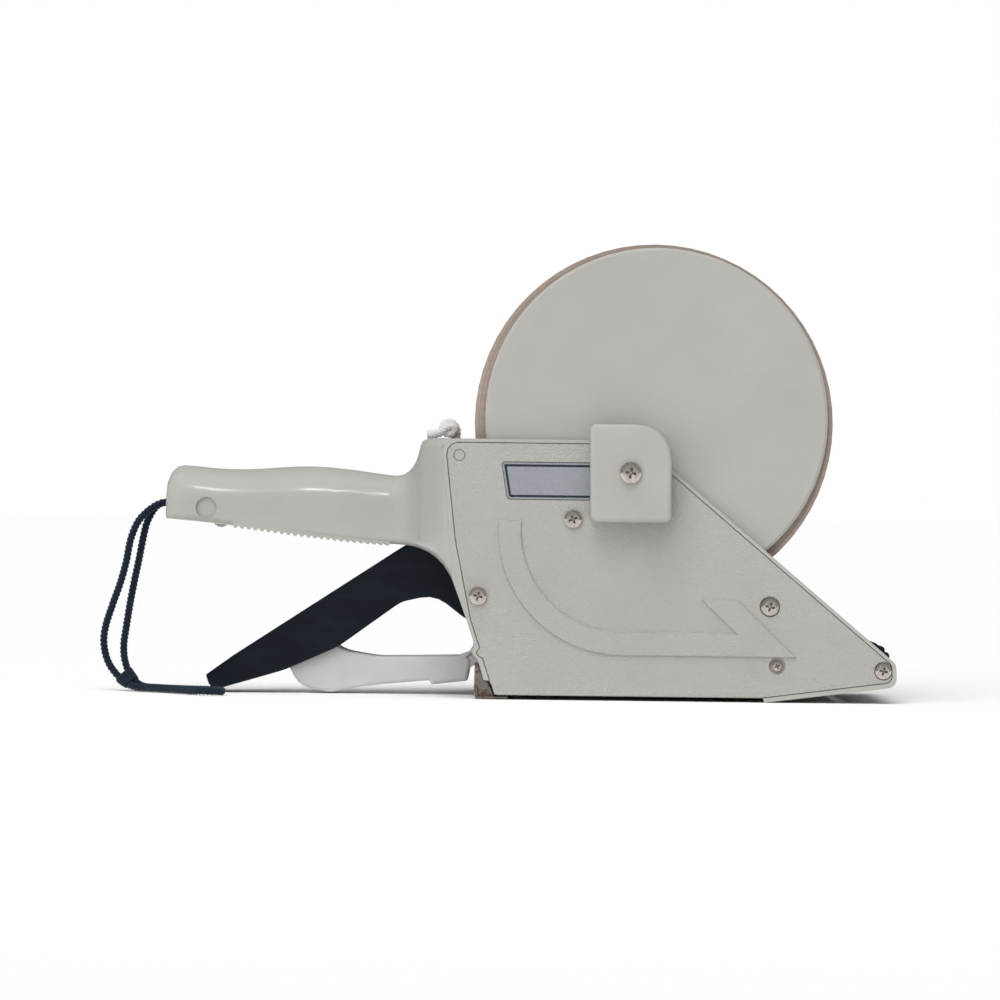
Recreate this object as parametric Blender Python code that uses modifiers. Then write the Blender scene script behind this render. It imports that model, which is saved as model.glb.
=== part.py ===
"""Hand-held price labeling gun, modelled as an assembly of separate pieces.

Frame: +X runs from the handle to the nose, +Y to the far side, +Z up.
The origin is on the standing surface, under the middle of the gun without its strap.
All dimensions below are millimetres; MM turns them into metres.
"""
import math

import bpy
import bmesh
from mathutils import Matrix, Vector

MM = 0.001

# ---- driving dimensions ---------------------------------------------------------------
GAP = 0.3                       # clearance kept between touching pieces
WALL_IN = 51.5                  # inner face of a side wall, from the middle plane
WALL_OUT = 53.5                 # outer face of a side wall, under its cover
RIM_OUT = 56.0                  # outer face of the rim and of the cover
COVER_IN = WALL_OUT + GAP
BETWEEN = WALL_IN - GAP         # half length of the cross pieces that fit between the walls
SEAM = 0.35                     # open seam between a cover and its rim
CLOSE = 0.06                    # outline points nearer than this are one point

SCREW_A = (20.1, 80.7)          # upper cover screw
PIVOT = (-21.8, 46.0)           # trigger shaft
SCREW_C = (108.2, 42.7)         # guide shaft
SCREW_D = (111.7, 16.4)         # tension shaft
SCREW_E = (159.0, 14.7)         # nose screw
SCREW_F = (45.2, 101.5)         # clamp block screw

REEL_AXIS = (56.9, 125.7)       # centre of the guard discs
ROLL_AXIS = (55.8, 123.8)       # the roll hangs a little lower on its hubs
DISC_RADIUS = 76.5
DISC_INNER, DISC_OUTER = 48.9, 51.1
ROLL_RADIUS = 80.0
ROLL_HALF_WIDTH = 46.5
CORE_BORE = 19.0
CORE_OUTER = 21.0
HUB_RADIUS = 16.5

WEB_HALF_WIDTH = 46.0
CHUTE_AXIS = (44.0, 70.0)       # centre of the curve that turns the web forward
CHUTE_RADIUS = 46.0
PEEL_TIP = (140.6, 8.0)
NOSE_ROLLER_AXIS = (153.5, 17.8)
NOSE_ROLLER_RADIUS = 9.6
NOSE_ROLLER_LOBES = 14

GEAR_MODULE = 1.0
SECTOR_TEETH = 64               # teeth that the sector would have as a whole wheel
PINION_TEETH = 16
DRUM_ANGLE = -45.0              # direction from the trigger shaft to the drum
DRUM_RADIUS = 10.0
CENTRES = GEAR_MODULE * (SECTOR_TEETH + PINION_TEETH) / 2
DRUM_AXIS = (PIVOT[0] + CENTRES * math.cos(math.radians(DRUM_ANGLE)),
             PIVOT[1] + CENTRES * math.sin(math.radians(DRUM_ANGLE)))
GEAR_NEAR, GEAR_FAR = 47.3, 50.7
TRIGGER_TRAVEL = 26.0
TRIGGER_REST_LIFT = 2.4         # keeps the trigger's tip clear of the standing surface
TRIGGER_HALF_WIDTH = 12.5
HUB_BORE, HUB_OUTER = 2.8, 4.0   # tube that turns on the trigger shaft

LEVER_AXIS = (-19.7, 21.1)
LEVER_REST_LIFT = 4.0           # keeps the lever clear of the standing surface
LEVER_HALF_WIDTH = 8.5
PRESSURE_RADIUS = 5.0
NIP_GAP = 0.9
PRESSURE_AXIS = (DRUM_AXIS[0] - (DRUM_RADIUS + NIP_GAP + PRESSURE_RADIUS) * math.cos(math.radians(45)),
                 DRUM_AXIS[1] + (DRUM_RADIUS + NIP_GAP + PRESSURE_RADIUS) * math.sin(math.radians(45)))

HANDLE_SCREW = (-145.5, 83.8)
STRAP_BOSS = (-139.2, 78.5)      # rounded boss that shows under the handle
STRAP_PIN = (-158.5, 86.5)
STRAP_DIAMETER = 3.2

# Handle and flare sections: x, bottom z, top z, half width, top corner radius, bottom corner radius.
HANDLE_SECTIONS = [
    (-164.0, 78.7, 91.5, 13.0, 6.0, 2.0),
    (-163.5, 78.65, 95.8, 14.6, 8.6, 2.2),
    (-161.8, 78.5, 99.6, 16.0, 10.9, 2.5),
    (-159.3, 78.3, 102.1, 17.0, 12.4, 3.0),
    (-156.0, 78.0, 102.9, 17.3, 13.0, 3.0),
    (-150.0, 77.5, 102.5, 17.3, 13.0, 3.0),
    (-143.0, 76.8, 101.8, 17.3, 13.0, 3.0),
    (-135.5, 76.0, 101.4, 17.3, 13.0, 3.0),
    (-128.0, 75.2, 101.4, 17.3, 13.0, 3.0),
    (-120.5, 74.3, 101.8, 17.4, 13.2, 3.0),
    (-113.0, 73.3, 102.4, 17.5, 13.5, 3.0),
    (-105.5, 72.4, 102.9, 17.7, 13.8, 3.0),
    (-98.0, 71.5, 103.1, 17.8, 14.0, 3.0),
    (-90.5, 70.7, 102.8, 17.8, 13.8, 3.0),
    (-83.0, 69.9, 102.1, 17.8, 13.5, 3.0),
    (-75.5, 69.3, 101.2, 17.8, 13.0, 3.0),
    (-68.0, 68.7, 100.2, 17.8, 12.6, 3.0),
    (-62.5, 68.4, 99.5, 18.0, 12.2, 3.0),
    (-59.0, 68.2, 99.3, 18.4, 12.0, 3.0),
    (-56.5, 68.0, 99.8, 19.4, 11.5, 3.0),
    (-54.2, 67.8, 101.1, 21.2, 11.0, 3.2),
    (-52.2, 67.5, 103.2, 23.8, 10.5, 3.4),
    (-50.6, 67.2, 106.0, 26.6, 10.0, 3.6),
    (-49.5, 66.9, 109.4, 29.0, 9.5, 3.8),
    (-48.75, 66.7, 112.5, 31.2, 9.0, 4.0),
    (-47.9, 66.4, 114.5, 34.0, 8.5, 4.0),
    (-46.4, 65.9, 115.6, 37.6, 8.0, 4.0),
    (-43.8, 64.7, 116.1, 43.2, 7.0, 4.0),
    (-40.5, 62.4, 116.2, 49.6, 6.0, 4.0),
    (-37.4, 59.4, 116.15, 54.2, 4.0, 4.0),
    (-34.6, 55.2, 116.05, 55.6, 3.2, 3.4),
    (-32.4, 50.6, 115.87, 55.87, 3.0, 3.0),
]
SHELL = 2.4                     # wall thickness of the handle and the flare

TEETH_FROM, TEETH_TO = -133.6, -61.4
TOOTH_PITCH, TOOTH_DEPTH = 3.0, 1.1
TOOTH_PROFILE = [(0.12, 0.0), (0.22, 0.65), (0.38, 1.0), (0.58, 1.0), (0.74, 0.65), (0.84, 0.0)]
TEETH_SINK, TEETH_ROOT = 0.15, 3.0   # how far the gaps and the root lie inside the handle
TEETH_STAGGER = -1.5            # offset of the far half's teeth along the handle

# Outlines in the XZ plane: x, z, corner radius.
RIM_CORNERS = [(-38.6, 116.0, 5.0), (48.8, 116.0, 3.0), (164.7, 17.9, 4.5), (165.2, 7.8, 4.5),
               (158.0, 6.6, 2.0), (106.1, 0.0, 0.5), (105.6, 1.9, 0.2), (-12.6, 1.9, 0.2),
               (-16.6, 8.4, 0.2), (-18.9, 8.6, 0.2), (-21.5, 17.5, 0.5), (-24.6, 20.8, 2.2),
               (-23.0, 24.2, 0.8), (-26.9, 35.6, 3.0), (-33.6, 54.0, 5.0)]
COVER_CORNERS = [(-36.9, 114.1, 5.0), (48.0, 114.1, 2.5), (162.5, 17.3, 3.4), (163.0, 9.7, 3.2),
                 (156.0, 8.9, 2.0), (104.9, 2.2, 0.3), (-13.9, 2.2, 0.4), (-19.3, 18.4, 0.6),
                 (-22.6, 20.2, 1.6), (-20.6, 23.0, 0.4), (-24.7, 35.1, 3.0), (-31.9, 70.4, 20.0)]
COVER_PLUG = (-30.8, 108.6)      # centre of the ring-shaped seam near the cover's top corner
ARROW_CURVE = (42.0, 75.5)      # centre of the arrow's bend
ARROW_OUTER, ARROW_INNER = 55.0, 45.2
ARROW_HEIGHT = 0.8
ARROW_DRAFT = 0.5              # how far the arrow widens per millimetre of depth

BLOCK_FACE, BLOCK_EDGE = 68.0, 1.7   # clamp block: outer face from the middle, rounding of its edge
TRIGGER_EDGE, LEVER_EDGE = 1.0, 1.8  # rounding of the trigger's and the lever's rims
RIM_ANGLES = [math.radians(angle) for angle in (0.0, 30.0, 60.0, 90.0)]

COLLECTION = "price_labeling_gun"
CUTTERS = "cutters"


# ---- materials --------------------------------------------------------------------------
def material(name, rgb, roughness, metallic=0.0):
    found = bpy.data.materials.get(name)
    if found:
        return found
    made = bpy.data.materials.new(name)
    made.use_nodes = True
    shader = made.node_tree.nodes["Principled BSDF"]
    shader.inputs["Base Color"].default_value = (*rgb, 1.0)
    shader.inputs["Roughness"].default_value = roughness
    shader.inputs["Metallic"].default_value = metallic
    made.diffuse_color = (*rgb, 1.0)
    return made


LOOKS = {
    "shell": ((0.50, 0.50, 0.46), 0.30, 0.0),
    "cover": ((0.49, 0.48, 0.44), 0.60, 0.0),
    "disc": ((0.49, 0.48, 0.44), 0.50, 0.0),
    "plate": ((0.33, 0.36, 0.42), 0.35, 0.0),
    "steel": ((0.55, 0.53, 0.50), 0.30, 1.0),
    "sheet": ((0.25, 0.23, 0.21), 0.45, 1.0),
    "trigger": ((0.012, 0.018, 0.030), 0.45, 0.0),
    "lever": ((0.70, 0.70, 0.68), 0.35, 0.0),
    "rubber": ((0.010, 0.010, 0.014), 0.70, 0.0),
    "gear": ((0.72, 0.70, 0.62), 0.45, 0.0),
    "paper": ((0.72, 0.69, 0.62), 0.80, 0.0),
    "kraft": ((0.38, 0.29, 0.24), 0.85, 0.0),
    "strap": ((0.010, 0.016, 0.032), 0.90, 0.0),
    "rope": ((0.70, 0.70, 0.68), 0.85, 0.0),
}


# ---- outlines -----------------------------------------------------------------------------
def arc(centre, radius, start_deg, end_deg, steps):
    """Points of an arc in the XZ plane, both ends included."""
    points = []
    for i in range(steps + 1):
        a = math.radians(start_deg + (end_deg - start_deg) * i / steps)
        points.append((centre[0] + radius * math.cos(a), centre[1] + radius * math.sin(a)))
    return points


def hole(centre, radius, steps=12):
    """Round hole as a closed outline."""
    return arc(centre, radius, 0.0, 360.0 * (steps - 1) / steps, steps - 1)


def rounded(corners, steps=3):
    """Closed outline from (x, z, radius) corners, each corner turned into an arc."""
    points = []
    count = len(corners)
    for i, (x, z, radius) in enumerate(corners):
        here = Vector((x, z))
        before = Vector(corners[i - 1][:2]) - here
        after = Vector(corners[(i + 1) % count][:2]) - here
        half = before.angle(after) / 2
        reach = min(radius / math.tan(half), 0.49 * before.length, 0.49 * after.length)
        turn_radius = reach * math.tan(half)
        inward = (before.normalized() + after.normalized()).normalized()
        centre = here + inward * (turn_radius / math.sin(half))
        start = here + before.normalized() * reach - centre
        sweep = start.angle_signed(here + after.normalized() * reach - centre)
        for k in range(steps + 1):
            spoke = start.copy()
            spoke.rotate(Matrix.Rotation(-sweep * k / steps, 2))
            points.append(tuple(centre + spoke))
    return [p for i, p in enumerate(points) if math.dist(p, points[i - 1]) > CLOSE]


def turned_outline(points, centre, degrees):
    """Outline turned about a point; positive lifts what lies towards the handle."""
    a = math.radians(-degrees)
    cos_a, sin_a = math.cos(a), math.sin(a)
    out = []
    for x, z in points:
        dx, dz = x - centre[0], z - centre[1]
        out.append((centre[0] + dx * cos_a - dz * sin_a, centre[1] + dx * sin_a + dz * cos_a))
    return out


def grown(points, distance):
    """Closed outline moved outwards by a distance."""
    area = sum(points[i - 1][0] * p[1] - p[0] * points[i - 1][1] for i, p in enumerate(points))
    side = 1.0 if area > 0 else -1.0
    out = []
    for i, p in enumerate(points):
        before = (Vector(p) - Vector(points[i - 1])).normalized()
        after = (Vector(points[(i + 1) % len(points)]) - Vector(p)).normalized()
        n1 = Vector((before.y, -before.x)) * side
        n2 = Vector((after.y, -after.x)) * side
        mid = (n1 + n2).normalized()
        out.append(tuple(Vector(p) + mid * distance / max(mid.dot(n1), 0.4)))
    return out


def shrunk(corners, distance):
    """Rounded corners moved inwards by a distance, each radius following its own edge."""
    moved = grown([(x, z) for x, z, _ in corners], -distance)
    area = sum(corners[i - 1][0] * c[1] - c[0] * corners[i - 1][1] for i, c in enumerate(corners))
    out = []
    for i, (x, z) in enumerate(moved):
        before, here, after = (Vector(corners[k % len(corners)][:2]) for k in (i - 1, i, i + 1))
        convex = (here - before).cross(after - here) * area > 0
        radius = corners[i][2]
        out.append((x, z, max(radius - distance, 0.2) if convex else radius + distance))
    return out


def band(path, thickness):
    """Closed outline of a strip of one thickness along an open path."""
    left, right = [], []
    for i, p in enumerate(path):
        a = Vector(path[max(i - 1, 0)])
        b = Vector(path[min(i + 1, len(path) - 1)])
        along = (b - a).normalized()
        normal = Vector((-along.y, along.x)) * thickness / 2
        left.append(tuple(Vector(p) + normal))
        right.append(tuple(Vector(p) - normal))
    return left + right[::-1]


def tangent_angle(c1, r1, c2, r2):
    """Direction of the tangent points on the handle side of two circles, in degrees."""
    dx, dz = c2[0] - c1[0], c2[1] - c1[1]
    return math.degrees(math.atan2(dz, dx) + math.acos((r1 - r2) / math.hypot(dx, dz)))


def on_circle(centre, radius, degrees):
    a = math.radians(degrees)
    return (centre[0] + radius * math.cos(a), centre[1] + radius * math.sin(a))


# ---- building blocks ------------------------------------------------------------------------
def clear_scene():
    for obj in list(bpy.data.objects):
        bpy.data.objects.remove(obj, do_unlink=True)


def collection(name):
    found = bpy.data.collections.get(name)
    if not found:
        found = bpy.data.collections.new(name)
        bpy.context.scene.collection.children.link(found)
    return found


def new_object(name, mesh, look, group=COLLECTION):
    obj = bpy.data.objects.new(name, mesh)
    collection(group).objects.link(obj)
    if group == CUTTERS:
        obj.hide_render = True
        obj.display_type = 'WIRE'
    else:
        mesh.materials.clear()
        rgb, roughness, metallic = LOOKS[look]
        mesh.materials.append(material(name + "_material", rgb, roughness, metallic))
    return obj


def as_mesh(curve_obj):
    """Mesh of a curve object in world space, with its caps welded on."""
    graph = bpy.context.evaluated_depsgraph_get()
    mesh = bpy.data.meshes.new_from_object(curve_obj.evaluated_get(graph), depsgraph=graph)
    mesh.transform(curve_obj.matrix_world)
    data = curve_obj.data
    bpy.data.objects.remove(curve_obj, do_unlink=True)
    bpy.data.curves.remove(data)
    tidy = bmesh.new()
    tidy.from_mesh(mesh)
    bmesh.ops.remove_doubles(tidy, verts=tidy.verts, dist=1e-6)
    bmesh.ops.recalc_face_normals(tidy, faces=tidy.faces)
    tidy.to_mesh(mesh)
    tidy.free()
    return mesh


def plate(name, loops, y0, y1, look="shell", group=COLLECTION):
    """Flat piece: XZ outlines in millimetres (the first outer, the rest holes) between y0 and y1."""
    curve = bpy.data.curves.new(name, 'CURVE')
    curve.dimensions = '2D'
    curve.fill_mode = 'BOTH'
    curve.extrude = abs(y1 - y0) / 2 * MM
    for loop in loops:
        spline = curve.splines.new('POLY')
        spline.points.add(len(loop) - 1)
        for point, (x, z) in zip(spline.points, loop):
            point.co = (x * MM, z * MM, 0.0, 1.0)
        spline.use_cyclic_u = True
    shape = bpy.data.objects.new(name + "_outline", curve)
    bpy.context.scene.collection.objects.link(shape)
    shape.matrix_world = (Matrix.Translation((0.0, (y0 + y1) / 2 * MM, 0.0))
                          @ Matrix.Rotation(math.radians(90), 4, 'X'))
    bpy.context.view_layer.update()
    return new_object(name, as_mesh(shape), look, group)


def turned(name, centre, profile, look="steel", steps=32, group=COLLECTION):
    """Turned piece about an axis along Y; its (radius, y) profile runs down its outer side from high y to low y.

    A profile that starts on the axis ends there too; any other profile is a closed loop.
    """
    mesh = bpy.data.meshes.new(name)
    shape = bmesh.new()
    verts = [shape.verts.new((radius * MM, 0.0, y * MM)) for radius, y in profile]
    for a, b in zip(verts, verts[1:]):
        shape.edges.new((a, b))
    if profile[0][0] > 0.0:
        shape.edges.new((verts[-1], verts[0]))
    shape.to_mesh(mesh)
    shape.free()
    obj = new_object(name, mesh, look, group)
    obj.matrix_world = (Matrix.Translation((centre[0] * MM, 0.0, centre[1] * MM))
                        @ Matrix.Rotation(math.radians(-90), 4, 'X'))
    screw = obj.modifiers.new("turn", 'SCREW')
    screw.steps = screw.render_steps = steps
    screw.use_merge_vertices = True
    screw.merge_threshold = 1e-6
    return obj


def sleeve(name, centre, inner, outer, y0, y1, look, steps=20, group=COLLECTION):
    """Plain tube along Y."""
    return turned(name, centre, [(outer, y1), (outer, y0), (inner, y0), (inner, y1)], look, steps, group)


def rod(name, centre, radius, y0, y1, look="steel", steps=16, group=COLLECTION):
    """Round bar along Y."""
    bpy.ops.mesh.primitive_cylinder_add(vertices=steps, radius=radius * MM, depth=abs(y1 - y0) * MM)
    made = bpy.context.object
    made.data.transform(Matrix.Rotation(math.radians(90), 4, 'X'))
    made.data.transform(Matrix.Translation((centre[0] * MM, (y0 + y1) / 2 * MM, centre[1] * MM)))
    mesh = made.data
    bpy.data.objects.remove(made, do_unlink=True)
    return new_object(name, mesh, look, group)


def box(name, low, high, look="shell", group=COLLECTION):
    bpy.ops.mesh.primitive_cube_add(size=1.0)
    made = bpy.context.object
    size = [(b - a) * MM for a, b in zip(low, high)]
    middle = [(a + b) / 2 * MM for a, b in zip(low, high)]
    made.data.transform(Matrix.Diagonal((*size, 1.0)))
    made.data.transform(Matrix.Translation(middle))
    mesh = made.data
    bpy.data.objects.remove(made, do_unlink=True)
    return new_object(name, mesh, look, group)


def boolean(obj, other, operation):
    modifier = obj.modifiers.new(operation.lower(), 'BOOLEAN')
    modifier.solver = 'EXACT'
    modifier.operation = operation
    modifier.object = other
    return obj


def cut(obj, *others):
    for other in others:
        boolean(obj, other, 'DIFFERENCE')
    return obj


def join(obj, *others):
    for other in others:
        boolean(obj, other, 'UNION')
    return obj


def bores(name, holes, y0, y1, steps=12):
    """One cutter made of round bars along Y: (centre, radius) each."""
    shape = bmesh.new()
    for centre, radius in holes:
        place = (Matrix.Translation((centre[0] * MM, (y0 + y1) / 2 * MM, centre[1] * MM))
                 @ Matrix.Rotation(math.radians(90), 4, 'X'))
        bmesh.ops.create_cone(shape, cap_ends=True, segments=steps, radius1=radius * MM,
                              radius2=radius * MM, depth=abs(y1 - y0) * MM, matrix=place)
    mesh = bpy.data.meshes.new(name)
    shape.to_mesh(mesh)
    shape.free()
    return new_object(name, mesh, None, CUTTERS)


def evaluated_mesh(obj):
    bpy.context.view_layer.update()
    graph = bpy.context.evaluated_depsgraph_get()
    mesh = bpy.data.meshes.new_from_object(obj.evaluated_get(graph), depsgraph=graph)
    mesh.transform(obj.matrix_world)
    return mesh


def far_copy(name, source, look):
    """The same piece on the far side, mirrored in the middle plane."""
    mesh = evaluated_mesh(source)
    mesh.transform(Matrix.Diagonal((1.0, -1.0, 1.0, 1.0)))
    mesh.flip_normals()
    return new_object(name, mesh, look)


def loft(name, sections, look="shell", group=COLLECTION):
    """Solid through closed sections with equal point counts; each is a list of (x, y, z)."""
    shape = bmesh.new()
    loops = [[shape.verts.new([c * MM for c in p]) for p in section] for section in sections]
    for a, b in zip(loops, loops[1:]):
        for i in range(len(a)):
            j = (i + 1) % len(a)
            shape.faces.new((a[i], a[j], b[j], b[i]))
    shape.faces.new(loops[0])
    shape.faces.new(loops[-1])
    bmesh.ops.recalc_face_normals(shape, faces=shape.faces)
    mesh = bpy.data.meshes.new(name)
    shape.to_mesh(mesh)
    shape.free()
    return new_object(name, mesh, look, group)


def rounded_slab(name, corners, half_width, edge, turn, look):
    """Flat piece across the middle plane with rounded rims; turn is its outline's (centre, degrees)."""
    sections = []
    for angle in RIM_ANGLES:
        outline = turned_outline(rounded(shrunk(corners, edge * (1.0 - math.sin(angle)))), *turn)
        y = -half_width + edge * (1.0 - math.cos(angle))
        sections.append([(x, y, z) for x, z in outline])
    sections += [[(x, -y, z) for x, y, z in section] for section in reversed(sections)]
    return loft(name, sections, look)


def tube(name, points, radius, look, resolution=2, group=COLLECTION):
    """Round tube along a poly line of (x, y, z) points."""
    curve = bpy.data.curves.new(name, 'CURVE')
    curve.dimensions = '3D'
    curve.bevel_depth = radius * MM
    curve.bevel_resolution = resolution
    curve.use_fill_caps = True
    spline = curve.splines.new('POLY')
    spline.points.add(len(points) - 1)
    for point, co in zip(spline.points, points):
        point.co = (co[0] * MM, co[1] * MM, co[2] * MM, 1.0)
    shape = bpy.data.objects.new(name + "_curve", curve)
    bpy.context.scene.collection.objects.link(shape)
    bpy.context.view_layer.update()
    return new_object(name, as_mesh(shape), look, group)


def smooth_path(points, step):
    """Points every step millimetres on a Catmull-Rom curve through a cord's route."""
    route = [Vector(p) for p in points]
    dense = []
    for i in range(len(route) - 1):
        p0, p1 = route[max(i - 1, 0)], route[i]
        p2, p3 = route[i + 1], route[min(i + 2, len(route) - 1)]
        for k in range(12):
            t = k / 12
            dense.append(0.5 * ((2 * p1) + (p2 - p0) * t + (2 * p0 - 5 * p1 + 4 * p2 - p3) * t ** 2
                                + (3 * p1 - p0 - 3 * p2 + p3) * t ** 3))
    dense.append(route[-1])
    total = sum((b - a).length for a, b in zip(dense, dense[1:]))
    count = max(2, round(total / step))
    out, walked, index = [dense[0]], 0.0, 0
    for k in range(1, count):
        goal = total * k / count
        while walked + (dense[index + 1] - dense[index]).length < goal:
            walked += (dense[index + 1] - dense[index]).length
            index += 1
        piece = dense[index + 1] - dense[index]
        out.append(dense[index] + piece * ((goal - walked) / piece.length))
    out.append(dense[-1])
    return [tuple(p) for p in out]


# ---- frame ---------------------------------------------------------------------------------
def handle_section(x, bottom, top, half_width, top_radius, bottom_radius, inset=0.0):
    """One cross section of the handle: a rounded rectangle in the YZ plane at x."""
    w = half_width - inset
    hi, lo = top - inset, bottom + inset
    rt, rb = max(top_radius - inset, 0.6), max(bottom_radius - inset, 0.6)
    outline = rounded([(-w, hi, rt), (w, hi, rt), (w, lo, rb), (-w, lo, rb)])
    return [(x, y, z) for y, z in outline]


def handle_hollow():
    """Space inside the handle and the flare, open towards the frame."""
    sections = []
    for x, bottom, top, half_width, top_radius, bottom_radius in HANDLE_SECTIONS[1:]:
        shift = SHELL if x < -150 or x > -60 else 0.0
        sections.append(handle_section(x + shift, bottom, top, half_width, top_radius, bottom_radius, SHELL))
    return loft("handle_hollow", sections, None, CUTTERS)


def handle_bottom(x):
    """Height of the handle's underside at one place along it."""
    for back, front in zip(HANDLE_SECTIONS, HANDLE_SECTIONS[1:]):
        if x <= front[0]:
            return back[1] + (front[1] - back[1]) * (x - back[0]) / (front[0] - back[0])


def grip_teeth(name, y0, y1, shift):
    """Rounded finger teeth along one lower edge of the handle."""
    count = int((TEETH_TO - TEETH_FROM) / TOOTH_PITCH)
    points = []
    for i in range(count):
        for along, down in TOOTH_PROFILE:
            x = TEETH_FROM + (i + along) * TOOTH_PITCH + shift
            points.append((x, handle_bottom(x) + TEETH_SINK - down * TOOTH_DEPTH))
    for x in (TEETH_TO, -80.0, -100.0, -120.0, TEETH_FROM):
        points.append((x + shift, handle_bottom(x) + TEETH_ROOT))
    return plate(name, [points], y0, y1, None, CUTTERS)


def frame_half():
    """Near half: side wall with its rim, half of the rear wall and half of the handle."""
    rim = rounded(RIM_CORNERS)
    frame = plate("frame_near", [rim], -RIM_OUT, -WALL_IN, "shell")
    seat = grown(rounded(COVER_CORNERS), SEAM)
    recess = plate("cover_recess", [seat], -RIM_OUT - 5, -WALL_OUT, None, CUTTERS)
    handle = loft("handle_solid", [handle_section(*s) for s in HANDLE_SECTIONS], None, CUTTERS)
    cut(handle, handle_hollow())
    rear_wall = plate("rear_wall_strip", [rounded([(-36.5, 62.0, 0.2), (-32.8, 51.5, 0.2), (-26.9, 35.6, 0.5),
                                                   (-23.3, 24.6, 0.2), (-21.0, 24.9, 0.2), (-24.4, 36.4, 0.5),
                                                   (-29.8, 51.5, 0.5), (-33.5, 62.5, 0.2)])],
                      -WALL_IN - 1, -15.2, None, CUTTERS)
    boss = turned("handle_boss", HANDLE_SCREW, [(5.6, -0.2), (5.6, -16.0), (1.9, -16.0), (1.9, -0.2)], None,
                12, CUTTERS)
    boss_profile = [(0.0, -0.2), (3.6, -0.2), (3.6, -8.2), (2.8, -9.0), (0.0, -9.0)]
    strap_boss = turned("strap_boss", STRAP_BOSS, boss_profile, None, 20, CUTTERS)
    join(frame, handle, rear_wall, boss, strap_boss)
    middle = box("middle_cut", (-180, -0.15, -20), (-10, 80, 140), None, CUTTERS)
    channel = box("trigger_channel", (-125.0, -14.2, 40.0), (-20.0, 5, 85.0), None, CUTTERS)
    strap_hole = box("strap_hole", (-170.0, -4.4, 81.5), (-160.2, 5.0, 91.5), None, CUTTERS)
    recess_screw = bores("handle_recess", [(HANDLE_SCREW, 4.8)], -20.0, -16.0)
    pilot = bores("handle_pilot", [(HANDLE_SCREW, 1.9)], -12.0, 2.0, 16)
    rope_hole = box("rope_hole", (-35.6, -2.6, 110.0), (-31.0, 5, 120.0), None, CUTTERS)
    screws = bores("wall_screw_holes", [(SCREW_A, 2.3), (PIVOT, 2.3), (SCREW_C, 2.3), (SCREW_D, 1.8),
                                        (SCREW_E, 2.3), (SCREW_F, 2.8)], -60.0, -50.0, 16)
    strap_seat = bores("strap_pin_seat", [(STRAP_PIN, 1.8)], -10.0, 2.0, 16)
    cut(frame, recess, middle, channel, strap_hole, recess_screw, pilot, rope_hole, screws, strap_seat)
    return frame


def frame_halves():
    """Both halves; the far one is mirrored, with a through hole for the handle screw and staggered teeth."""
    near = frame_half()
    far = far_copy("frame_far", near, "shell")
    through = bores("handle_screw_hole", [(HANDLE_SCREW, 1.9)], -2.0, 30.0, 16)
    cut(far, through)
    join(near, grip_teeth("near_teeth", -17.2, -15.4, 0.0))
    join(far, grip_teeth("far_teeth", 15.4, 17.2, TEETH_STAGGER))


def arrow_outline():
    """Raised arrow that shows the web's way: down the back, round, and on to the nose."""
    outer = arc(ARROW_CURVE, ARROW_OUTER, 176.0, 270.0, 14)
    inner = arc(ARROW_CURVE, ARROW_INNER, 270.0, 176.0, 14)
    head = [(119.5, 20.5), (94.0, 45.0), (78.5, 45.0), (94.0, 30.3)]
    return outer + head + inner


def cover_half():
    """Near cover: a textured plate set into the rim, with the raised arrow and screw seats."""
    holes = [hole(centre, radius) for centre, radius in
             [(SCREW_A, 2.3), (PIVOT, 2.3), (SCREW_C, 2.3), (SCREW_D, 1.8), (SCREW_E, 2.3), (SCREW_F, 2.9)]]
    cover = plate("cover_near", [rounded(COVER_CORNERS)] + holes, -RIM_OUT, -COVER_IN, "cover")
    top, root = -RIM_OUT - ARROW_HEIGHT, -RIM_OUT + 0.5
    foot = grown(arrow_outline(), (root - top) * ARROW_DRAFT)
    arrow = loft("arrow", [[(x, top, z) for x, z in arrow_outline()], [(x, root, z) for x, z in foot]],
                 None, CUTTERS)
    join(cover, arrow)
    seats = bores("screw_seats", [(SCREW_D, 3.7), (SCREW_E, 4.1), (SCREW_C, 4.6)], -60.0, -RIM_OUT + 1.1, 20)
    name_seat = plate("name_seat", [rounded([(-12.2, 106.0, 1.5), (57.6, 106.0, 1.5), (57.6, 89.0, 1.5),
                                             (-9.4, 89.0, 2.0)])], -60.0, -RIM_OUT + 0.9, None, CUTTERS)
    plug_line = sleeve("plug_line", COVER_PLUG, 2.3, 2.65, -60.0, -RIM_OUT + 0.5, None, 24, CUTTERS)
    cut(cover, seats, name_seat, plug_line)
    return cover


def name_plate():
    """Blank name plate in the cover's recess; its right end runs under the clamp block."""
    outline = rounded([(-11.8, 105.6, 1.3), (57.2, 105.6, 1.3), (57.2, 89.4, 1.3), (-9.1, 89.4, 1.8)])
    return plate("name_plate_near", [outline, hole(SCREW_F, 3.0)], -RIM_OUT + 0.1, -RIM_OUT + 0.6, "plate")


def reel_disc():
    """Near guard disc, with the cup-shaped hub that carries the roll's core."""
    r, hub = DISC_RADIUS, HUB_RADIUS
    profile = [(0.0, -DISC_INNER + 0.2), (hub - 3, -DISC_INNER + 0.2), (hub - 3, -36.0), (hub - 1, -36.0),
               (hub, -37.0), (hub, -DISC_INNER), (r - 0.5, -DISC_INNER), (r, -DISC_INNER - 0.5),
               (r, -DISC_OUTER + 0.8), (r - 1.2, -DISC_OUTER), (0.0, -DISC_OUTER)]
    disc = turned("reel_disc_near", REEL_AXIS, profile, "disc", 64)
    cut(disc, bores("disc_screw_hole", [(SCREW_F, 2.8)], -60.0, -40.0, 16))
    return disc


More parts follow.
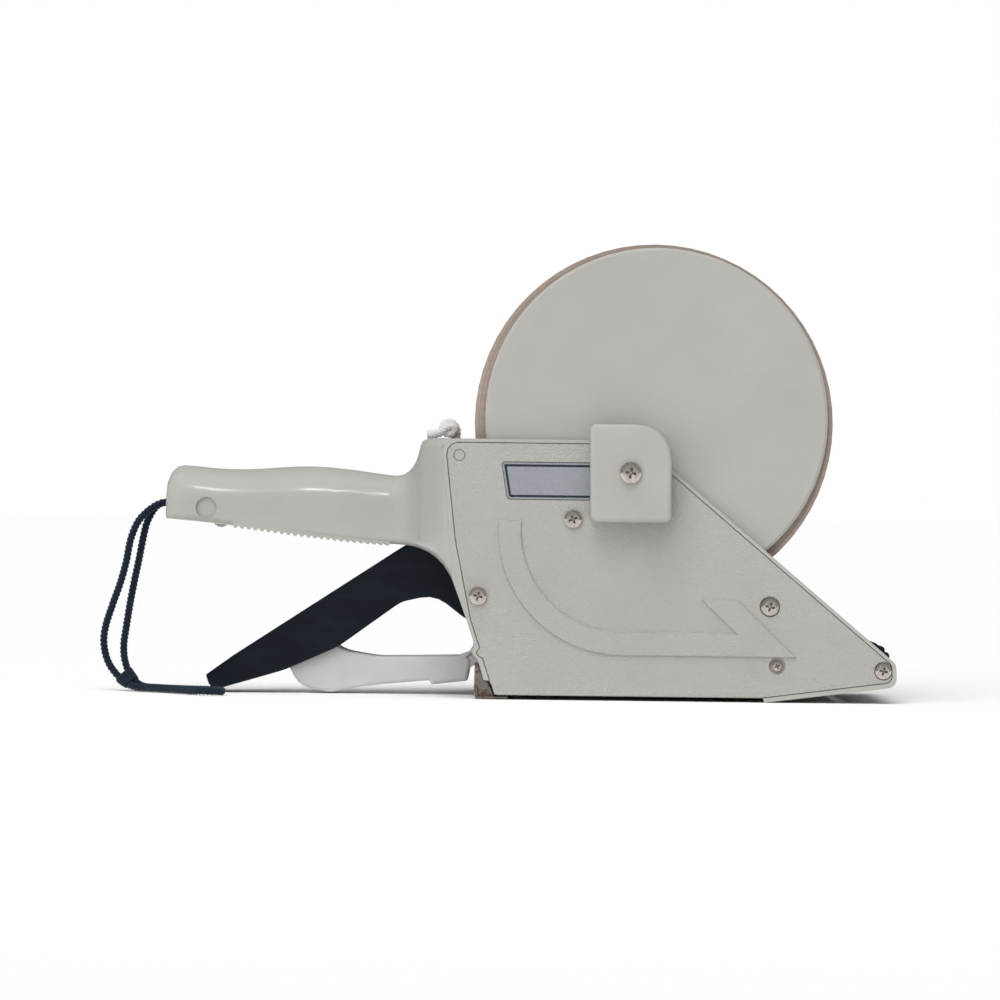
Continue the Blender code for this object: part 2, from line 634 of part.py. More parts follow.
def clamp_block():
    """Near clamp block: hooks over the side wall and pinches it against the guard disc."""
    corners = [(27.0, 123.0, 3.0), (63.5, 123.0, 15.6), (63.5, 79.5, 3.0), (27.6, 79.5, 3.0)]
    outline = rounded(corners, 5)
    sections = []
    for angle in RIM_ANGLES:
        y = -BLOCK_FACE + BLOCK_EDGE * (1.0 - math.cos(angle))
        sections.append([(x, y, z) for x, z in grown(outline, -BLOCK_EDGE * (1.0 - math.sin(angle)))])
    sections.append([(x, -RIM_OUT - GAP, z) for x, z in outline])
    block = loft("clamp_block_near", sections, "disc")
    hook_corners = [(30.0, 121.0, 1.5), (61.0, 121.0, 12.0), (61.0, 107.0, 1.0), (50.6, 116.4, 0.3),
                    (30.0, 116.4, 0.5)]
    hook = plate("block_hook", [rounded(hook_corners, 2)], -RIM_OUT - 2.0, -DISC_OUTER - GAP, None, CUTTERS)
    join(block, hook)
    cut(block, bores("block_screw_hole", [(SCREW_F, 2.8)], -70.0, -40.0, 16))
    return block


def cross_recess(centre, reach, half_width, y0, y1):
    """Cutter for a cross-shaped driver recess, each turned its own way."""
    turn = math.radians((centre[0] * 7 + centre[1] * 3) % 90)
    corner = [(half_width, half_width), (half_width, reach), (-half_width, reach)]
    outline = []
    for quarter in range(4):
        c, s = math.cos(turn + quarter * math.pi / 2), math.sin(turn + quarter * math.pi / 2)
        outline += [(centre[0] + x * c - z * s, centre[1] + x * s + z * c) for x, z in corner]
    return plate("cross_recess", [outline], y0, y1, None, CUTTERS)


def pan_screw(name, centre, head_radius, head_height, shank_radius, seat, tip):
    """Pan-head screw entering from the near side; seat and tip are distances from the middle plane."""
    r, h = head_radius, head_height
    profile = [(0.0, -tip), (shank_radius, -tip), (shank_radius, -seat), (r, -seat), (r, -seat - 0.45 * h),
               (r * 0.7, -seat - 0.95 * h), (0.0, -seat - h)]
    screw = turned(name, centre, profile, "steel", 20)
    cut(screw, cross_recess(centre, 0.5 * r, 0.11 * r, -seat - h - 1.0, -seat - 0.35 * h))
    return screw


def side_screws():
    """The five cover screws and the clamp block screw of each side."""
    near = [
        pan_screw("cover_screw_top_near", SCREW_A, 4.0, 2.2, 1.9, RIM_OUT + GAP, 51.7),
        pan_screw("cover_screw_pivot_near", PIVOT, 4.0, 2.2, 1.9, RIM_OUT + GAP, 51.7),
        pan_screw("cover_screw_guide_near", SCREW_C, 4.0, 2.2, 1.9, RIM_OUT - 0.8, 51.7),
        pan_screw("cover_screw_small_near", SCREW_D, 2.5, 1.6, 1.4, RIM_OUT - 0.8, 51.7),
        pan_screw("cover_screw_nose_near", SCREW_E, 3.7, 2.2, 1.9, RIM_OUT - 0.8, 51.7),
        pan_screw("block_screw_near", SCREW_F, 4.8, 2.8, 2.4, 68.0 + GAP, 49.3),
    ]
    for screw in near:
        far_copy(screw.name.replace("_near", "_far"), screw, "steel")


def handle_screw():
    """Screw that pulls the handle halves together, entered from the far side."""
    profile = [(0.0, 17.8), (2.0, 17.8), (3.6, 17.0), (3.8, 16.3), (1.6, 16.3), (1.6, -10.5), (0.0, -10.5)]
    screw = turned("handle_screw", HANDLE_SCREW, profile, "steel", 20)
    cut(screw, cross_recess(HANDLE_SCREW, 1.9, 0.45, 16.6, 19.0))
    return screw


# ---- web path and cross pieces -------------------------------------------------------------
def web_start():
    """Angle at which the web leaves the roll and meets the chute's curve."""
    return tangent_angle(CHUTE_AXIS, CHUTE_RADIUS, ROLL_AXIS, ROLL_RADIUS + 0.6)


def label_web():
    """Web of labels from the roll down the chute, over the tension roller and to the peel tip."""
    angle = web_start()
    path = [on_circle(ROLL_AXIS, ROLL_RADIUS + 0.6, angle)]
    path += arc(CHUTE_AXIS, CHUTE_RADIUS, angle, 266.5, 12)
    path += arc(SCREW_D, 3.9, 86.5, 69.5, 2)
    path += [(PEEL_TIP[0] - 0.5, PEEL_TIP[1] + 1.15)]
    return plate("label_web", [band(path, 0.3)], -WEB_HALF_WIDTH, WEB_HALF_WIDTH, "paper")


def backing_web():
    """Bare backing paper from the peel tip, over the feed drum and out above the tear-off edge."""
    start = (PEEL_TIP[0] - 1.0, PEEL_TIP[1] - 1.0)
    drum_path = DRUM_RADIUS + NIP_GAP / 2
    dx, dz = start[0] - DRUM_AXIS[0], start[1] - DRUM_AXIS[1]
    enter = math.degrees(math.atan2(dz, dx) + math.acos(drum_path / math.hypot(dx, dz)))
    path = [start] + arc(DRUM_AXIS, drum_path, enter, 165.0, 10) + [(-11.5, 12.0), (-21.0, 6.6)]
    return plate("backing_web", [band(path, 0.25)], -WEB_HALF_WIDTH, WEB_HALF_WIDTH, "kraft")


def web_chute():
    """Guide plate behind the web: straight down from the roll, then round the bend."""
    angle = web_start()
    radius = CHUTE_RADIUS + 1.4
    bend = arc(CHUTE_AXIS, radius, angle, 236.0, 9)
    a = math.radians(angle)
    lead_in = (bend[0][0] + 34.0 * math.sin(a), bend[0][1] - 34.0 * math.cos(a))
    return plate("web_chute", [band([lead_in] + bend, 1.2)], -BETWEEN, WEB_HALF_WIDTH + 0.6, "shell")


def base_plate():
    """Floor between the walls, from behind the drum to the nose."""
    outline = rounded([(20.0, 4.6, 0.3), (104.0, 4.6, 0.5), (140.0, 6.0, 0.3), (140.0, 4.8, 0.3),
                       (106.6, 0.4, 0.3), (104.5, 2.6, 0.3), (20.0, 2.6, 0.3)])
    return plate("base_plate", [outline], -BETWEEN, BETWEEN, "shell")


def nose_hood():
    """Roof strip along the sloping edge, ending just behind the applicator roller."""
    outline = rounded([(117.0, 56.6, 0.5), (143.6, 34.0, 0.3), (142.2, 32.4, 0.3), (117.0, 53.8, 0.5)])
    return plate("nose_hood", [outline], -BETWEEN, BETWEEN, "shell")


def peel_plate():
    """Thin plate whose edge turns the backing back so that the label comes off."""
    outline = rounded([(117.5, 14.6, 0.3), (PEEL_TIP[0], PEEL_TIP[1] + 0.45, 0.4),
                       (PEEL_TIP[0], PEEL_TIP[1] - 0.45, 0.4), (117.5, 12.6, 0.3)])
    return plate("peel_plate", [outline], -BETWEEN, BETWEEN, "sheet")


def tear_off_bracket():
    """Folded steel bracket: bottom flange, low rear edge with tear-off teeth, and two side ears."""
    profile = rounded([(-22.6, 0.0, 0.8), (-8.0, 0.0, 0.3), (-8.0, 1.2, 0.3), (-21.4, 1.2, 0.3),
                       (-21.9, 5.6, 0.2), (-23.1, 5.6, 0.2)])
    bracket = plate("tear_off_bracket", [profile], -53.2, 53.2, "sheet")
    ear = rounded([(-23.1, 4.6, 0.2), (-22.9, 16.4, 0.3), (-22.0, 16.4, 0.3), (-16.9, 7.7, 0.3),
                   (-14.4, 1.4, 0.3), (-14.4, 0.6, 0.2), (-22.4, 0.6, 0.2)])
    for side in (-1, 1):
        join(bracket, plate("bracket_ear", [ear], side * (BETWEEN - 1.2), side * BETWEEN, None, CUTTERS))
    cut(bracket, box("lever_notch", (-25.0, -11.0, 2.4), (-20.0, 11.0, 8.0), None, CUTTERS))
    return bracket


def cross_shafts():
    """Fixed shafts between the side walls."""
    rod("trigger_shaft", PIVOT, HUB_BORE - GAP, -BETWEEN, BETWEEN)
    rod("guide_shaft", SCREW_C, 2.0, -BETWEEN, BETWEEN)
    rod("tension_shaft", SCREW_D, 1.5, -BETWEEN, BETWEEN)
    rod("lever_pin", LEVER_AXIS, 1.5, -BETWEEN, BETWEEN)
    rod("nose_axle", NOSE_ROLLER_AXIS, 2.0, -BETWEEN, BETWEEN)


def free_rollers():
    """Rollers that turn on the fixed shafts."""
    sleeve("guide_roller", SCREW_C, 2.3, 4.5, -47.0, 47.0, "gear", 16)
    sleeve("tension_roller", SCREW_D, 1.8, 3.2, -47.0, 47.0, "gear", 16)


def lobed_outline():
    """Applicator roller outline: shallow round lobes on a circle."""
    points = []
    steps = 4
    for i in range(NOSE_ROLLER_LOBES * steps):
        a = 2 * math.pi * i / (NOSE_ROLLER_LOBES * steps)
        dip = 1.1 * (1 - abs(math.cos(NOSE_ROLLER_LOBES * a / 2)) ** 0.8)
        points.append(on_circle(NOSE_ROLLER_AXIS, NOSE_ROLLER_RADIUS - dip, math.degrees(a)))
    return points


def applicator_roller():
    """Soft lobed roller that presses the label on."""
    return plate("applicator_roller", [lobed_outline(), hole(NOSE_ROLLER_AXIS, 2.3)], -48.0, 48.0, "rubber")


def roll():
    """Label roll on its cardboard core."""
    inner = CORE_OUTER + 0.2
    w = ROLL_HALF_WIDTH
    sleeve("label_roll", ROLL_AXIS, inner, ROLL_RADIUS, -w, w, "kraft", 64)
    sleeve("roll_core", ROLL_AXIS, CORE_BORE, CORE_OUTER, -w, w, "kraft", 32)


# ---- feed mechanism -------------------------------------------------------------------------
def gear_outline(centre, teeth, start_tooth, end_tooth, phase_deg):
    """Toothed part of a gear's outline, from one tooth number to another."""
    pitch_radius = GEAR_MODULE * teeth / 2
    root, tip = pitch_radius - 1.25 * GEAR_MODULE, pitch_radius + 0.9 * GEAR_MODULE
    step = 360.0 / teeth
    points = []
    for k in range(start_tooth, end_tooth):
        middle = phase_deg + k * step
        for radius, share in ((root, -0.36), (tip, -0.12), (tip, 0.12), (root, 0.36)):
            points.append(on_circle(centre, radius, middle + share * step))
    return points


def sector_gear():
    """Gear sector at the far end of the trigger's hub."""
    step = 360.0 / SECTOR_TEETH
    behind, ahead = 1, round(TRIGGER_TRAVEL / step) + 1
    teeth = gear_outline(PIVOT, SECTOR_TEETH, -behind, ahead + 1, DRUM_ANGLE)
    outline = teeth + arc(PIVOT, 5.2, DRUM_ANGLE + (ahead + 1) * step + 25, 360 + DRUM_ANGLE - 35, 12)
    return plate("sector_gear", [outline, hole(PIVOT, HUB_BORE, 16)], GEAR_NEAR, GEAR_FAR, "gear")


def drum_pinion():
    """Pinion on the drum shaft, in mesh with the sector."""
    step = 360.0 / PINION_TEETH
    outline = gear_outline(DRUM_AXIS, PINION_TEETH, 0, PINION_TEETH, DRUM_ANGLE + 180.0 + step / 2)
    return plate("drum_pinion", [outline, hole(DRUM_AXIS, 4.6)], GEAR_NEAR, GEAR_FAR, "gear")


def feed_drum():
    """Drum shaft, the one-way bearing in the pinion, and the rubber sleeve that grips the backing."""
    sleeve("one_way_bearing", DRUM_AXIS, 2.8, 4.3, GEAR_NEAR, GEAR_FAR, "steel")
    rod("drum_shaft", DRUM_AXIS, 2.5, -BETWEEN, BETWEEN)
    sleeve("feed_drum", DRUM_AXIS, 2.8, DRUM_RADIUS, -46.0, 46.6, "rubber", 24)


def coil(centre, radius, y0, y1, turns, start_deg, steps=9):
    """Points of a spring's coil about an axis along Y."""
    count = int(turns * steps)
    points = []
    for i in range(count + 1):
        a = math.radians(start_deg + 360.0 * turns * i / count)
        points.append((centre[0] + radius * math.cos(a), y0 + (y1 - y0) * i / count,
                       centre[1] + radius * math.sin(a)))
    return points


def trigger_spring():
    """Torsion spring round the trigger's hub, with its fixed leg against the rear wall."""
    points = coil(PIVOT, 4.75, 18.0, 26.0, 6.0, 90.0)
    first = points[0]
    leg = [(first[0] - 5.5, first[1], first[2] + 9.0)]
    return tube("trigger_spring", leg + points, 0.4, "steel", 1)


def lever_spring():
    """Torsion spring round the lever's pin, with the leg that hooks over the lever's side."""
    points = coil(LEVER_AXIS, 2.9, -12.5, -17.3, 3.0, 180.0)
    first = points[0]
    leg = [(first[0] - 4.6, first[1], first[2] - 4.4), (first[0] - 2.4, first[1], first[2] - 2.4),
           (first[0] - 0.5, first[1], first[2] - 1.4)]
    return tube("lever_spring", leg + points, 0.5, "sheet", 1)


# ---- trigger and lever -----------------------------------------------------------------------
TRIGGER_CORNERS = [(-55.3, 67.0, 6.0), (-33.0, 66.5, 9.0), (-13.5, 56.0, 8.0), (-13.5, 37.5, 8.0),
                   (-26.5, 34.0, 5.0), (-41.5, 44.6, 14.0), (-56.5, 40.6, 14.0), (-84.2, 18.6, 30.0),
                   (-108.0, 6.8, 40.0), (-140.6, -4.4, 4.0), (-143.4, 2.8, 1.0), (-131.0, 12.6, 30.0)]
LEVER_CORNERS = [(-23.5, 17.9, 3.0), (-39.0, 16.4, 60.0), (-66.4, 13.9, 40.0), (-82.0, 15.4, 16.0),
                 (-92.0, 22.0, 6.0), (-104.5, 19.0, 6.0), (-108.6, 9.0, 8.0), (-101.5, -2.2, 10.0),
                 (-87.0, -4.6, 12.0), (-73.5, -0.6, 10.0), (-62.0, 1.6, 1.0), (-42.6, 4.8, 0.4),
                 (-41.4, 3.0, 0.6), (-25.2, 6.0, 1.5)]


def trigger():
    """Trigger: a channel open below, with a solid root bored for its hub."""
    w = TRIGGER_HALF_WIDTH
    body = rounded_slab("trigger", TRIGGER_CORNERS, w, TRIGGER_EDGE, (PIVOT, TRIGGER_REST_LIFT), "trigger")
    inside = rounded([(-46.0, 62.0, 3.0), (-46.0, 10.0, 1.0), (-80.0, -20.0, 1.0), (-150.0, -20.0, 1.0),
                      (-137.5, -1.0, 2.0), (-137.0, 5.6, 3.0), (-57.0, 62.6, 4.0)])
    inside = turned_outline(inside, PIVOT, TRIGGER_REST_LIFT)
    cavity = plate("trigger_cavity", [inside], -w + 2.2, w - 2.2, None, CUTTERS)
    cut(body, cavity, bores("trigger_bore", [(PIVOT, HUB_OUTER + GAP)], -20.0, 20.0, 20))
    return body


def trigger_hub():
    """Tube that carries the trigger and the sector gear on the trigger shaft."""
    return sleeve("trigger_hub", PIVOT, HUB_BORE, HUB_OUTER, -14.0, GEAR_NEAR - GAP, "gear", 24)


def release_lever():
    """Lower lever: a spoon-shaped hollow handle, its pin bosses and the two arms of the pressure roller."""
    w = LEVER_HALF_WIDTH
    turn = (LEVER_AXIS, LEVER_REST_LIFT)
    lever = rounded_slab("release_lever", LEVER_CORNERS, w, LEVER_EDGE, turn, "lever")
    hollow_corners = [(-30.0, 30.0, 1.0), (-30.0, 9.5, 1.5), (-60.0, 4.6, 3.0), (-73.0, 2.4, 6.0),
                      (-87.0, -1.6, 8.0), (-99.0, 0.2, 8.0), (-105.2, 9.0, 6.0), (-101.0, 40.0, 1.0)]
    inside = turned_outline(rounded(hollow_corners), *turn)
    hollow = plate("lever_hollow", [inside], -w + 2.0, w - 2.0, None, CUTTERS)
    cut(lever, hollow)
    along = Vector(PRESSURE_AXIS) - Vector(LEVER_AXIS)
    tilt = math.degrees(math.atan2(along.y, along.x))
    arm_outline = arc(LEVER_AXIS, 4.0, tilt + 90, tilt + 270, 5)
    arm_outline += arc(PRESSURE_AXIS, 3.4, tilt - 90, tilt + 90, 5)
    root_outline = rounded([(-30.2, 9.0, 0.5), (-18.0, 17.0, 1.0), (-18.0, 24.0, 1.0),
                            (-23.0, 23.6, 1.0), (-25.6, 19.6, 0.6), (-30.9, 17.6, 0.5)])
    root = plate("lever_root", [root_outline], -w + 0.5, w - 0.5, None, CUTTERS)
    join(lever, root)
    for side in (-1, 1):
        arm = plate("lever_arm", [arm_outline], side * (w - 2.5), side * (w + 1.5), None, CUTTERS)
        join(lever, arm)
    cut(lever, bores("lever_bores", [(LEVER_AXIS, 1.8), (PRESSURE_AXIS, 1.8)], -20.0, 20.0, 16))
    return lever


def pressure_parts():
    """Pressure roller halves sit outboard of the lever's arms on one axle."""
    rod("pressure_axle", PRESSURE_AXIS, 1.5, -44.0, 44.0)


# ---- strap and rope ---------------------------------------------------------------------------
STRAP_ROUTE = [
    (-161.5, -2.2, 85.6), (-165.0, -2.3, 85.9), (-169.0, -2.5, 84.6), (-173.4, -2.8, 81.4),
    (-177.6, -3.1, 76.4), (-180.6, -3.4, 68.5), (-182.4, -3.8, 58.7), (-184.8, -4.2, 49.4),
    (-188.3, -4.6, 39.1), (-191.4, -5.0, 28.8), (-191.9, -5.6, 20.6), (-189.4, -7.0, 12.2),
    (-183.4, -9.4, 5.2), (-177.0, -14.2, 2.1), (-168.4, -22.2, 2.0), (-158.4, -32.4, 2.0),
    (-151.9, -41.1, 2.0), (-147.1, -48.4, 2.0), (-142.1, -51.1, 2.0), (-137.3, -48.9, 2.0),
    (-135.9, -43.6, 2.0), (-138.7, -39.2, 2.0), (-145.7, -33.8, 2.0), (-155.6, -28.6, 2.0),
    (-165.8, -19.4, 2.0), (-174.3, -11.2, 2.6), (-179.4, -8.2, 7.2), (-182.2, -6.2, 13.4),
    (-183.0, -4.6, 20.6), (-182.0, -2.8, 29.6), (-180.6, -1.2, 39.6), (-178.9, 0.2, 49.6),
    (-176.9, 1.2, 60.0), (-175.2, 1.9, 69.6), (-173.4, 2.2, 77.0), (-170.0, 2.3, 83.2),
    (-166.0, 2.2, 85.8), (-161.5, 2.2, 85.6)]


def strap():
    """Wrist strap: one doubled cord that hangs from the handle and lies on the standing surface."""
    return tube("wrist_strap", smooth_path(STRAP_ROUTE, 6.5), STRAP_DIAMETER / 2, "strap", 2)


def rope():
    """Short white cord through the roof, stopped by a knot on top."""
    rise = [(-33.3, -0.2, 104.0), (-33.3, 0.0, 110.0), (-33.3, 0.0, 115.0), (-33.5, 0.0, 116.9)]
    tube("hanging_cord", rise, 1.6, "rope", 2)
    bpy.ops.mesh.primitive_uv_sphere_add(segments=12, ring_count=7, radius=1.0)
    made = bpy.context.object
    made.data.transform(Matrix.Diagonal((4.6 * MM, 3.4 * MM, 3.7 * MM, 1.0)))
    made.data.transform(Matrix.Translation((-35.6 * MM, 0.0, 121.7 * MM)))
    mesh = made.data
    bpy.data.objects.remove(made, do_unlink=True)
    knot = new_object("cord_knot", mesh, "rope")
    lying = [(-36.0, 0.0, 121.0), (-40.0, -0.3, 119.7), (-43.6, -0.6, 118.7), (-46.6, -1.0, 118.3)]
    tail = tube("knot_tail", lying, 1.6, None, 2, CUTTERS)
    join(knot, tail)


def build():
    clear_scene()
    frame_halves()
    far_copy("cover_far", cover_half(), "cover")
    far_copy("name_plate_far", name_plate(), "plate")
    far_copy("reel_disc_far", reel_disc(), "disc")
    far_copy("clamp_block_far", clamp_block(), "disc")
    side_screws()
    handle_screw()
    label_web()
    backing_web()
    web_chute()
    base_plate()
    nose_hood()
    peel_plate()
    tear_off_bracket()
    cross_shafts()
    free_rollers()
    applicator_roller()
    roll()
    sector_gear()
    drum_pinion()
    feed_drum()
    trigger_spring()
    lever_spring()
    trigger()
    trigger_hub()
    release_lever()
    pressure_parts()
    sleeve("pressure_roller_near", PRESSURE_AXIS, 1.8, PRESSURE_RADIUS, -40.0, -11.0, "rubber", 20)
    sleeve("pressure_roller_far", PRESSURE_AXIS, 1.8, PRESSURE_RADIUS, 11.0, 40.0, "rubber", 20)
    rod("strap_pin", STRAP_PIN, 1.5, -9.0, 9.0)
    strap()
    rope()


build()
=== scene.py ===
"""Finish, cords and small printed or moulded details of the hand label applicator.

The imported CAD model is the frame: its solids stay where they are and get their real surfaces here. The
strap is rebuilt as a laid cord with a whipping, and the short cord through the roof as a braid with its
stopper knot. Two printed borders and two blank labels are added. Lengths are in metres and constant angles
in degrees.
"""
import math

import bpy
from mathutils import Matrix, Vector


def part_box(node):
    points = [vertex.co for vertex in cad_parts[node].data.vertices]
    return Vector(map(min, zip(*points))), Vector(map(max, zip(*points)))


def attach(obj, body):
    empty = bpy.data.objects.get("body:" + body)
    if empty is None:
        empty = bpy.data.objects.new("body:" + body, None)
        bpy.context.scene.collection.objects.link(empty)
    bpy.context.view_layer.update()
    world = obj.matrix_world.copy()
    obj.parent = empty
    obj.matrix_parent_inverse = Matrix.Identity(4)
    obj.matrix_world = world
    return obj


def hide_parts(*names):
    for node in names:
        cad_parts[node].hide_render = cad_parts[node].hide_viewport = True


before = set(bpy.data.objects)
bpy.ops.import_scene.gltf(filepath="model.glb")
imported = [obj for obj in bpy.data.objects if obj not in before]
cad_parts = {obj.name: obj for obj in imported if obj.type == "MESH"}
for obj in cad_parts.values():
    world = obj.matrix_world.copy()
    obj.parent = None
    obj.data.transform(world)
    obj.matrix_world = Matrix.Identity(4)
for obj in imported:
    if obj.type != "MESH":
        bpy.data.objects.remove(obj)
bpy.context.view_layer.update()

MM = 0.001

# ---- camera and studio ------------------------------------------------------------------------
CAMERA_PLACE = (-0.0125, -2.256, 0.0888)
CAMERA_LENS, CAMERA_SENSOR = 178.0, 36.0         # millimetres
CAMERA_ROLL = 0.7
CAMERA_REACH = 100.0
FLOOR_SIZE = 40.0
FLOOR_COLOUR = (0.97, 0.97, 0.97)
BACKGROUND = 1.0                                 # what the camera sees behind the floor
ROOM_LIGHT = 0.35                                # what lights the object from all round
KEY_STRENGTH, KEY_SOFTNESS, KEY_TILT = 2.15, 50.0, (24.0, -8.0, 0.0)
FILL_STRENGTH, FILL_SOFTNESS, FILL_TILT = 0.84, 50.0, (74.0, 0.0, -35.0)
SOFTBOX_POWER, SOFTBOX_SIZE = 0.6, (0.1, 0.12)
SOFTBOX_PLACE, SOFTBOX_TARGET = (-0.12, -0.9, 0.72), (-0.08, 0.0, 0.09)

# ---- finishes ---------------------------------------------------------------------------------
PLASTIC = (0.405, 0.402, 0.378)
PLASTIC_SHADE = (0.375, 0.37, 0.343)
GRIME = (0.20, 0.185, 0.155)
# colour of the painted shade in metal recesses and where metal meets another part
PAINTED_SHADE_COLOUR = (0.035, 0.028, 0.022)
PLATE_FACE = (0.275, 0.29, 0.317)
PLATE_BORDER = (0.006, 0.009, 0.020)
NICKEL = (0.60, 0.56, 0.52)
NICKEL_WARM = (0.50, 0.43, 0.37)
STEEL = (0.56, 0.55, 0.53)
SHEET = (0.27, 0.25, 0.23)
RUST = (0.13, 0.075, 0.045)
TRIGGER_BLUE = (0.0035, 0.006, 0.011)
TRIGGER_WORN = (0.007, 0.011, 0.017)
MILK_WHITE = (0.55, 0.55, 0.545)
RUBBER = (0.008, 0.009, 0.014)
ACETAL = (0.72, 0.70, 0.62)
KRAFT = (0.42, 0.345, 0.295)
KRAFT_DARK = (0.30, 0.235, 0.195)
PAPER = (0.78, 0.77, 0.74)
BACKING = (0.50, 0.44, 0.36)
NAVY = (0.006, 0.011, 0.022)
NAVY_LIGHT = (0.016, 0.026, 0.042)
BRAID_WHITE = (0.74, 0.74, 0.72)

# ---- shading ----------------------------------------------------------------------------------
SMOOTH_UP_TO = 32.0
WELD_DISTANCE = 0.000002
BEVEL_SAMPLES, OCCLUSION_SAMPLES = 4, 8
PLASTIC_EDGE, PLASTIC_WEAR = 0.0003, 0.0007      # edge radius and width of its worn band
# metal: edge radius, and width of a darkened band that is partly wear on outer edges and partly painted shade
# in corners
METAL_EDGE, METAL_WEAR_AND_SHADE = 0.00025, 0.0004
TRIGGER_EDGE, TRIGGER_WEAR = 0.0006, 0.0008
LEVER_EDGE, RUBBER_EDGE, ACETAL_EDGE = 0.0005, 0.0004, 0.0002
# how far the painted shade in metal recesses reaches
METAL_SHADE_REACH = 0.0014
SCRATCH_SCALE, SCRATCH_DEPTH = 2600.0, 0.000006
RING_SCALE = 1700.0
YARN_SCALE = 2600.0

# ---- cords ------------------------------------------------------------------------------------
CORD_SIDES = 24
CURVE_STEPS = 16                                 # between two points of a route
CUT_END = 0.55                                   # share of the radius left at a cut end
STRAP_DIAMETER = 0.0032
STRAP_CREST = 0.0018                             # radius over the strands; between them it is less
STRAP_STRANDS, STRAP_LAY, STRAP_GROOVE = 3, 0.0057, 0.30
STRAP_STEP = 0.0004
WHIPPING_HEIGHT = 0.0055
WHIPPING_REACH, WHIPPING_TURNS, WHIPPING_STEPS = 8, 9, 24
WHIPPING_BESIDE, WHIPPING_OVER = 0.0003, 0.0004  # from the legs' surface to the thread's middle
HANDLE_MARGIN, FOLD_MARGIN = 30, 60              # path points near either end of a leg that are passed over
THREAD_RADIUS, THREAD_SIDES = 0.00055, 8
THREAD_STRANDS, THREAD_LAY, THREAD_GROOVE = 2, 0.002, 0.15
STRAP_ROUTE_MM = [
    (-161.5, -2.2, 85.6), (-165.0, -2.3, 85.9), (-169.0, -2.5, 84.6), (-173.4, -2.8, 81.4),
    (-177.6, -3.1, 76.4), (-180.6, -3.4, 68.5), (-182.4, -3.8, 58.7), (-184.8, -4.2, 49.4),
    (-188.3, -4.6, 39.1), (-191.4, -5.0, 28.8), (-191.9, -5.6, 20.6), (-189.4, -7.0, 12.2),
    (-183.4, -9.4, 5.2), (-177.0, -14.2, 2.1), (-168.4, -22.2, 2.0), (-158.4, -32.4, 2.0),
    (-151.9, -41.1, 2.0), (-147.1, -48.4, 2.0), (-142.1, -51.1, 2.0), (-137.3, -48.9, 2.0),
    (-135.9, -43.6, 2.0), (-138.7, -39.2, 2.0), (-145.7, -33.8, 2.0), (-155.6, -28.6, 2.0),
    (-165.8, -19.4, 2.0), (-174.3, -11.2, 2.6), (-179.4, -8.2, 7.2), (-182.2, -6.2, 13.4),
    (-183.0, -4.6, 20.6), (-182.0, -2.8, 29.6), (-180.6, -1.2, 39.6), (-178.9, 0.2, 49.6),
    (-176.9, 1.2, 60.0), (-175.2, 1.9, 69.6), (-173.4, 2.2, 77.0), (-170.0, 2.3, 83.2),
    (-166.0, 2.2, 85.8), (-161.5, 2.2, 85.6)]
STRAP_ROUTE = [tuple(c * MM for c in point) for point in STRAP_ROUTE_MM]

KNOT_CREST = 0.0022
KNOT_STRANDS, KNOT_LAY, KNOT_GROOVE = 6, 0.0105, 0.28
KNOT_STEP = 0.0003
KNOT_ROUTE_MM = [
    (-33.3, -0.2, 104.0), (-33.3, 0.0, 112.0), (-32.9, 0.8, 117.0), (-32.8, 1.5, 120.5),
    (-34.4, 1.6, 123.0), (-36.8, 0.9, 123.5), (-38.6, -0.2, 122.2), (-38.2, -1.2, 120.0),
    (-36.2, -1.8, 118.9), (-34.2, -2.3, 119.4), (-33.7, -2.6, 121.0), (-35.2, -2.9, 122.0),
    (-37.2, -2.7, 121.2), (-38.8, -2.2, 120.0), (-41.0, -1.6, 119.0), (-43.6, -1.2, 118.5),
    (-46.2, -1.0, 118.3)]
KNOT_ROUTE = [tuple(c * MM for c in point) for point in KNOT_ROUTE_MM]

# ---- labels and print -------------------------------------------------------------------------
LABEL_WIDTH, LABEL_LENGTH, LABEL_CORNER = 0.086, 0.026, 0.002
LABEL_THICKNESS, LABEL_SINK = 0.00009, 0.00002
LABEL_STARTS = (0.032, 0.061)
LABEL_STEPS = 20
WEB_ABOVE = 0.035                                # a height just over the web, under the roll
BORDER_OUTSIDE, BORDER_INSIDE = 0.0008, 0.0018   # from the name plate's edge
BORDER_RISE = 0.00005
SAME_PLANE = 0.00005
MITRE_LIMIT = 0.4


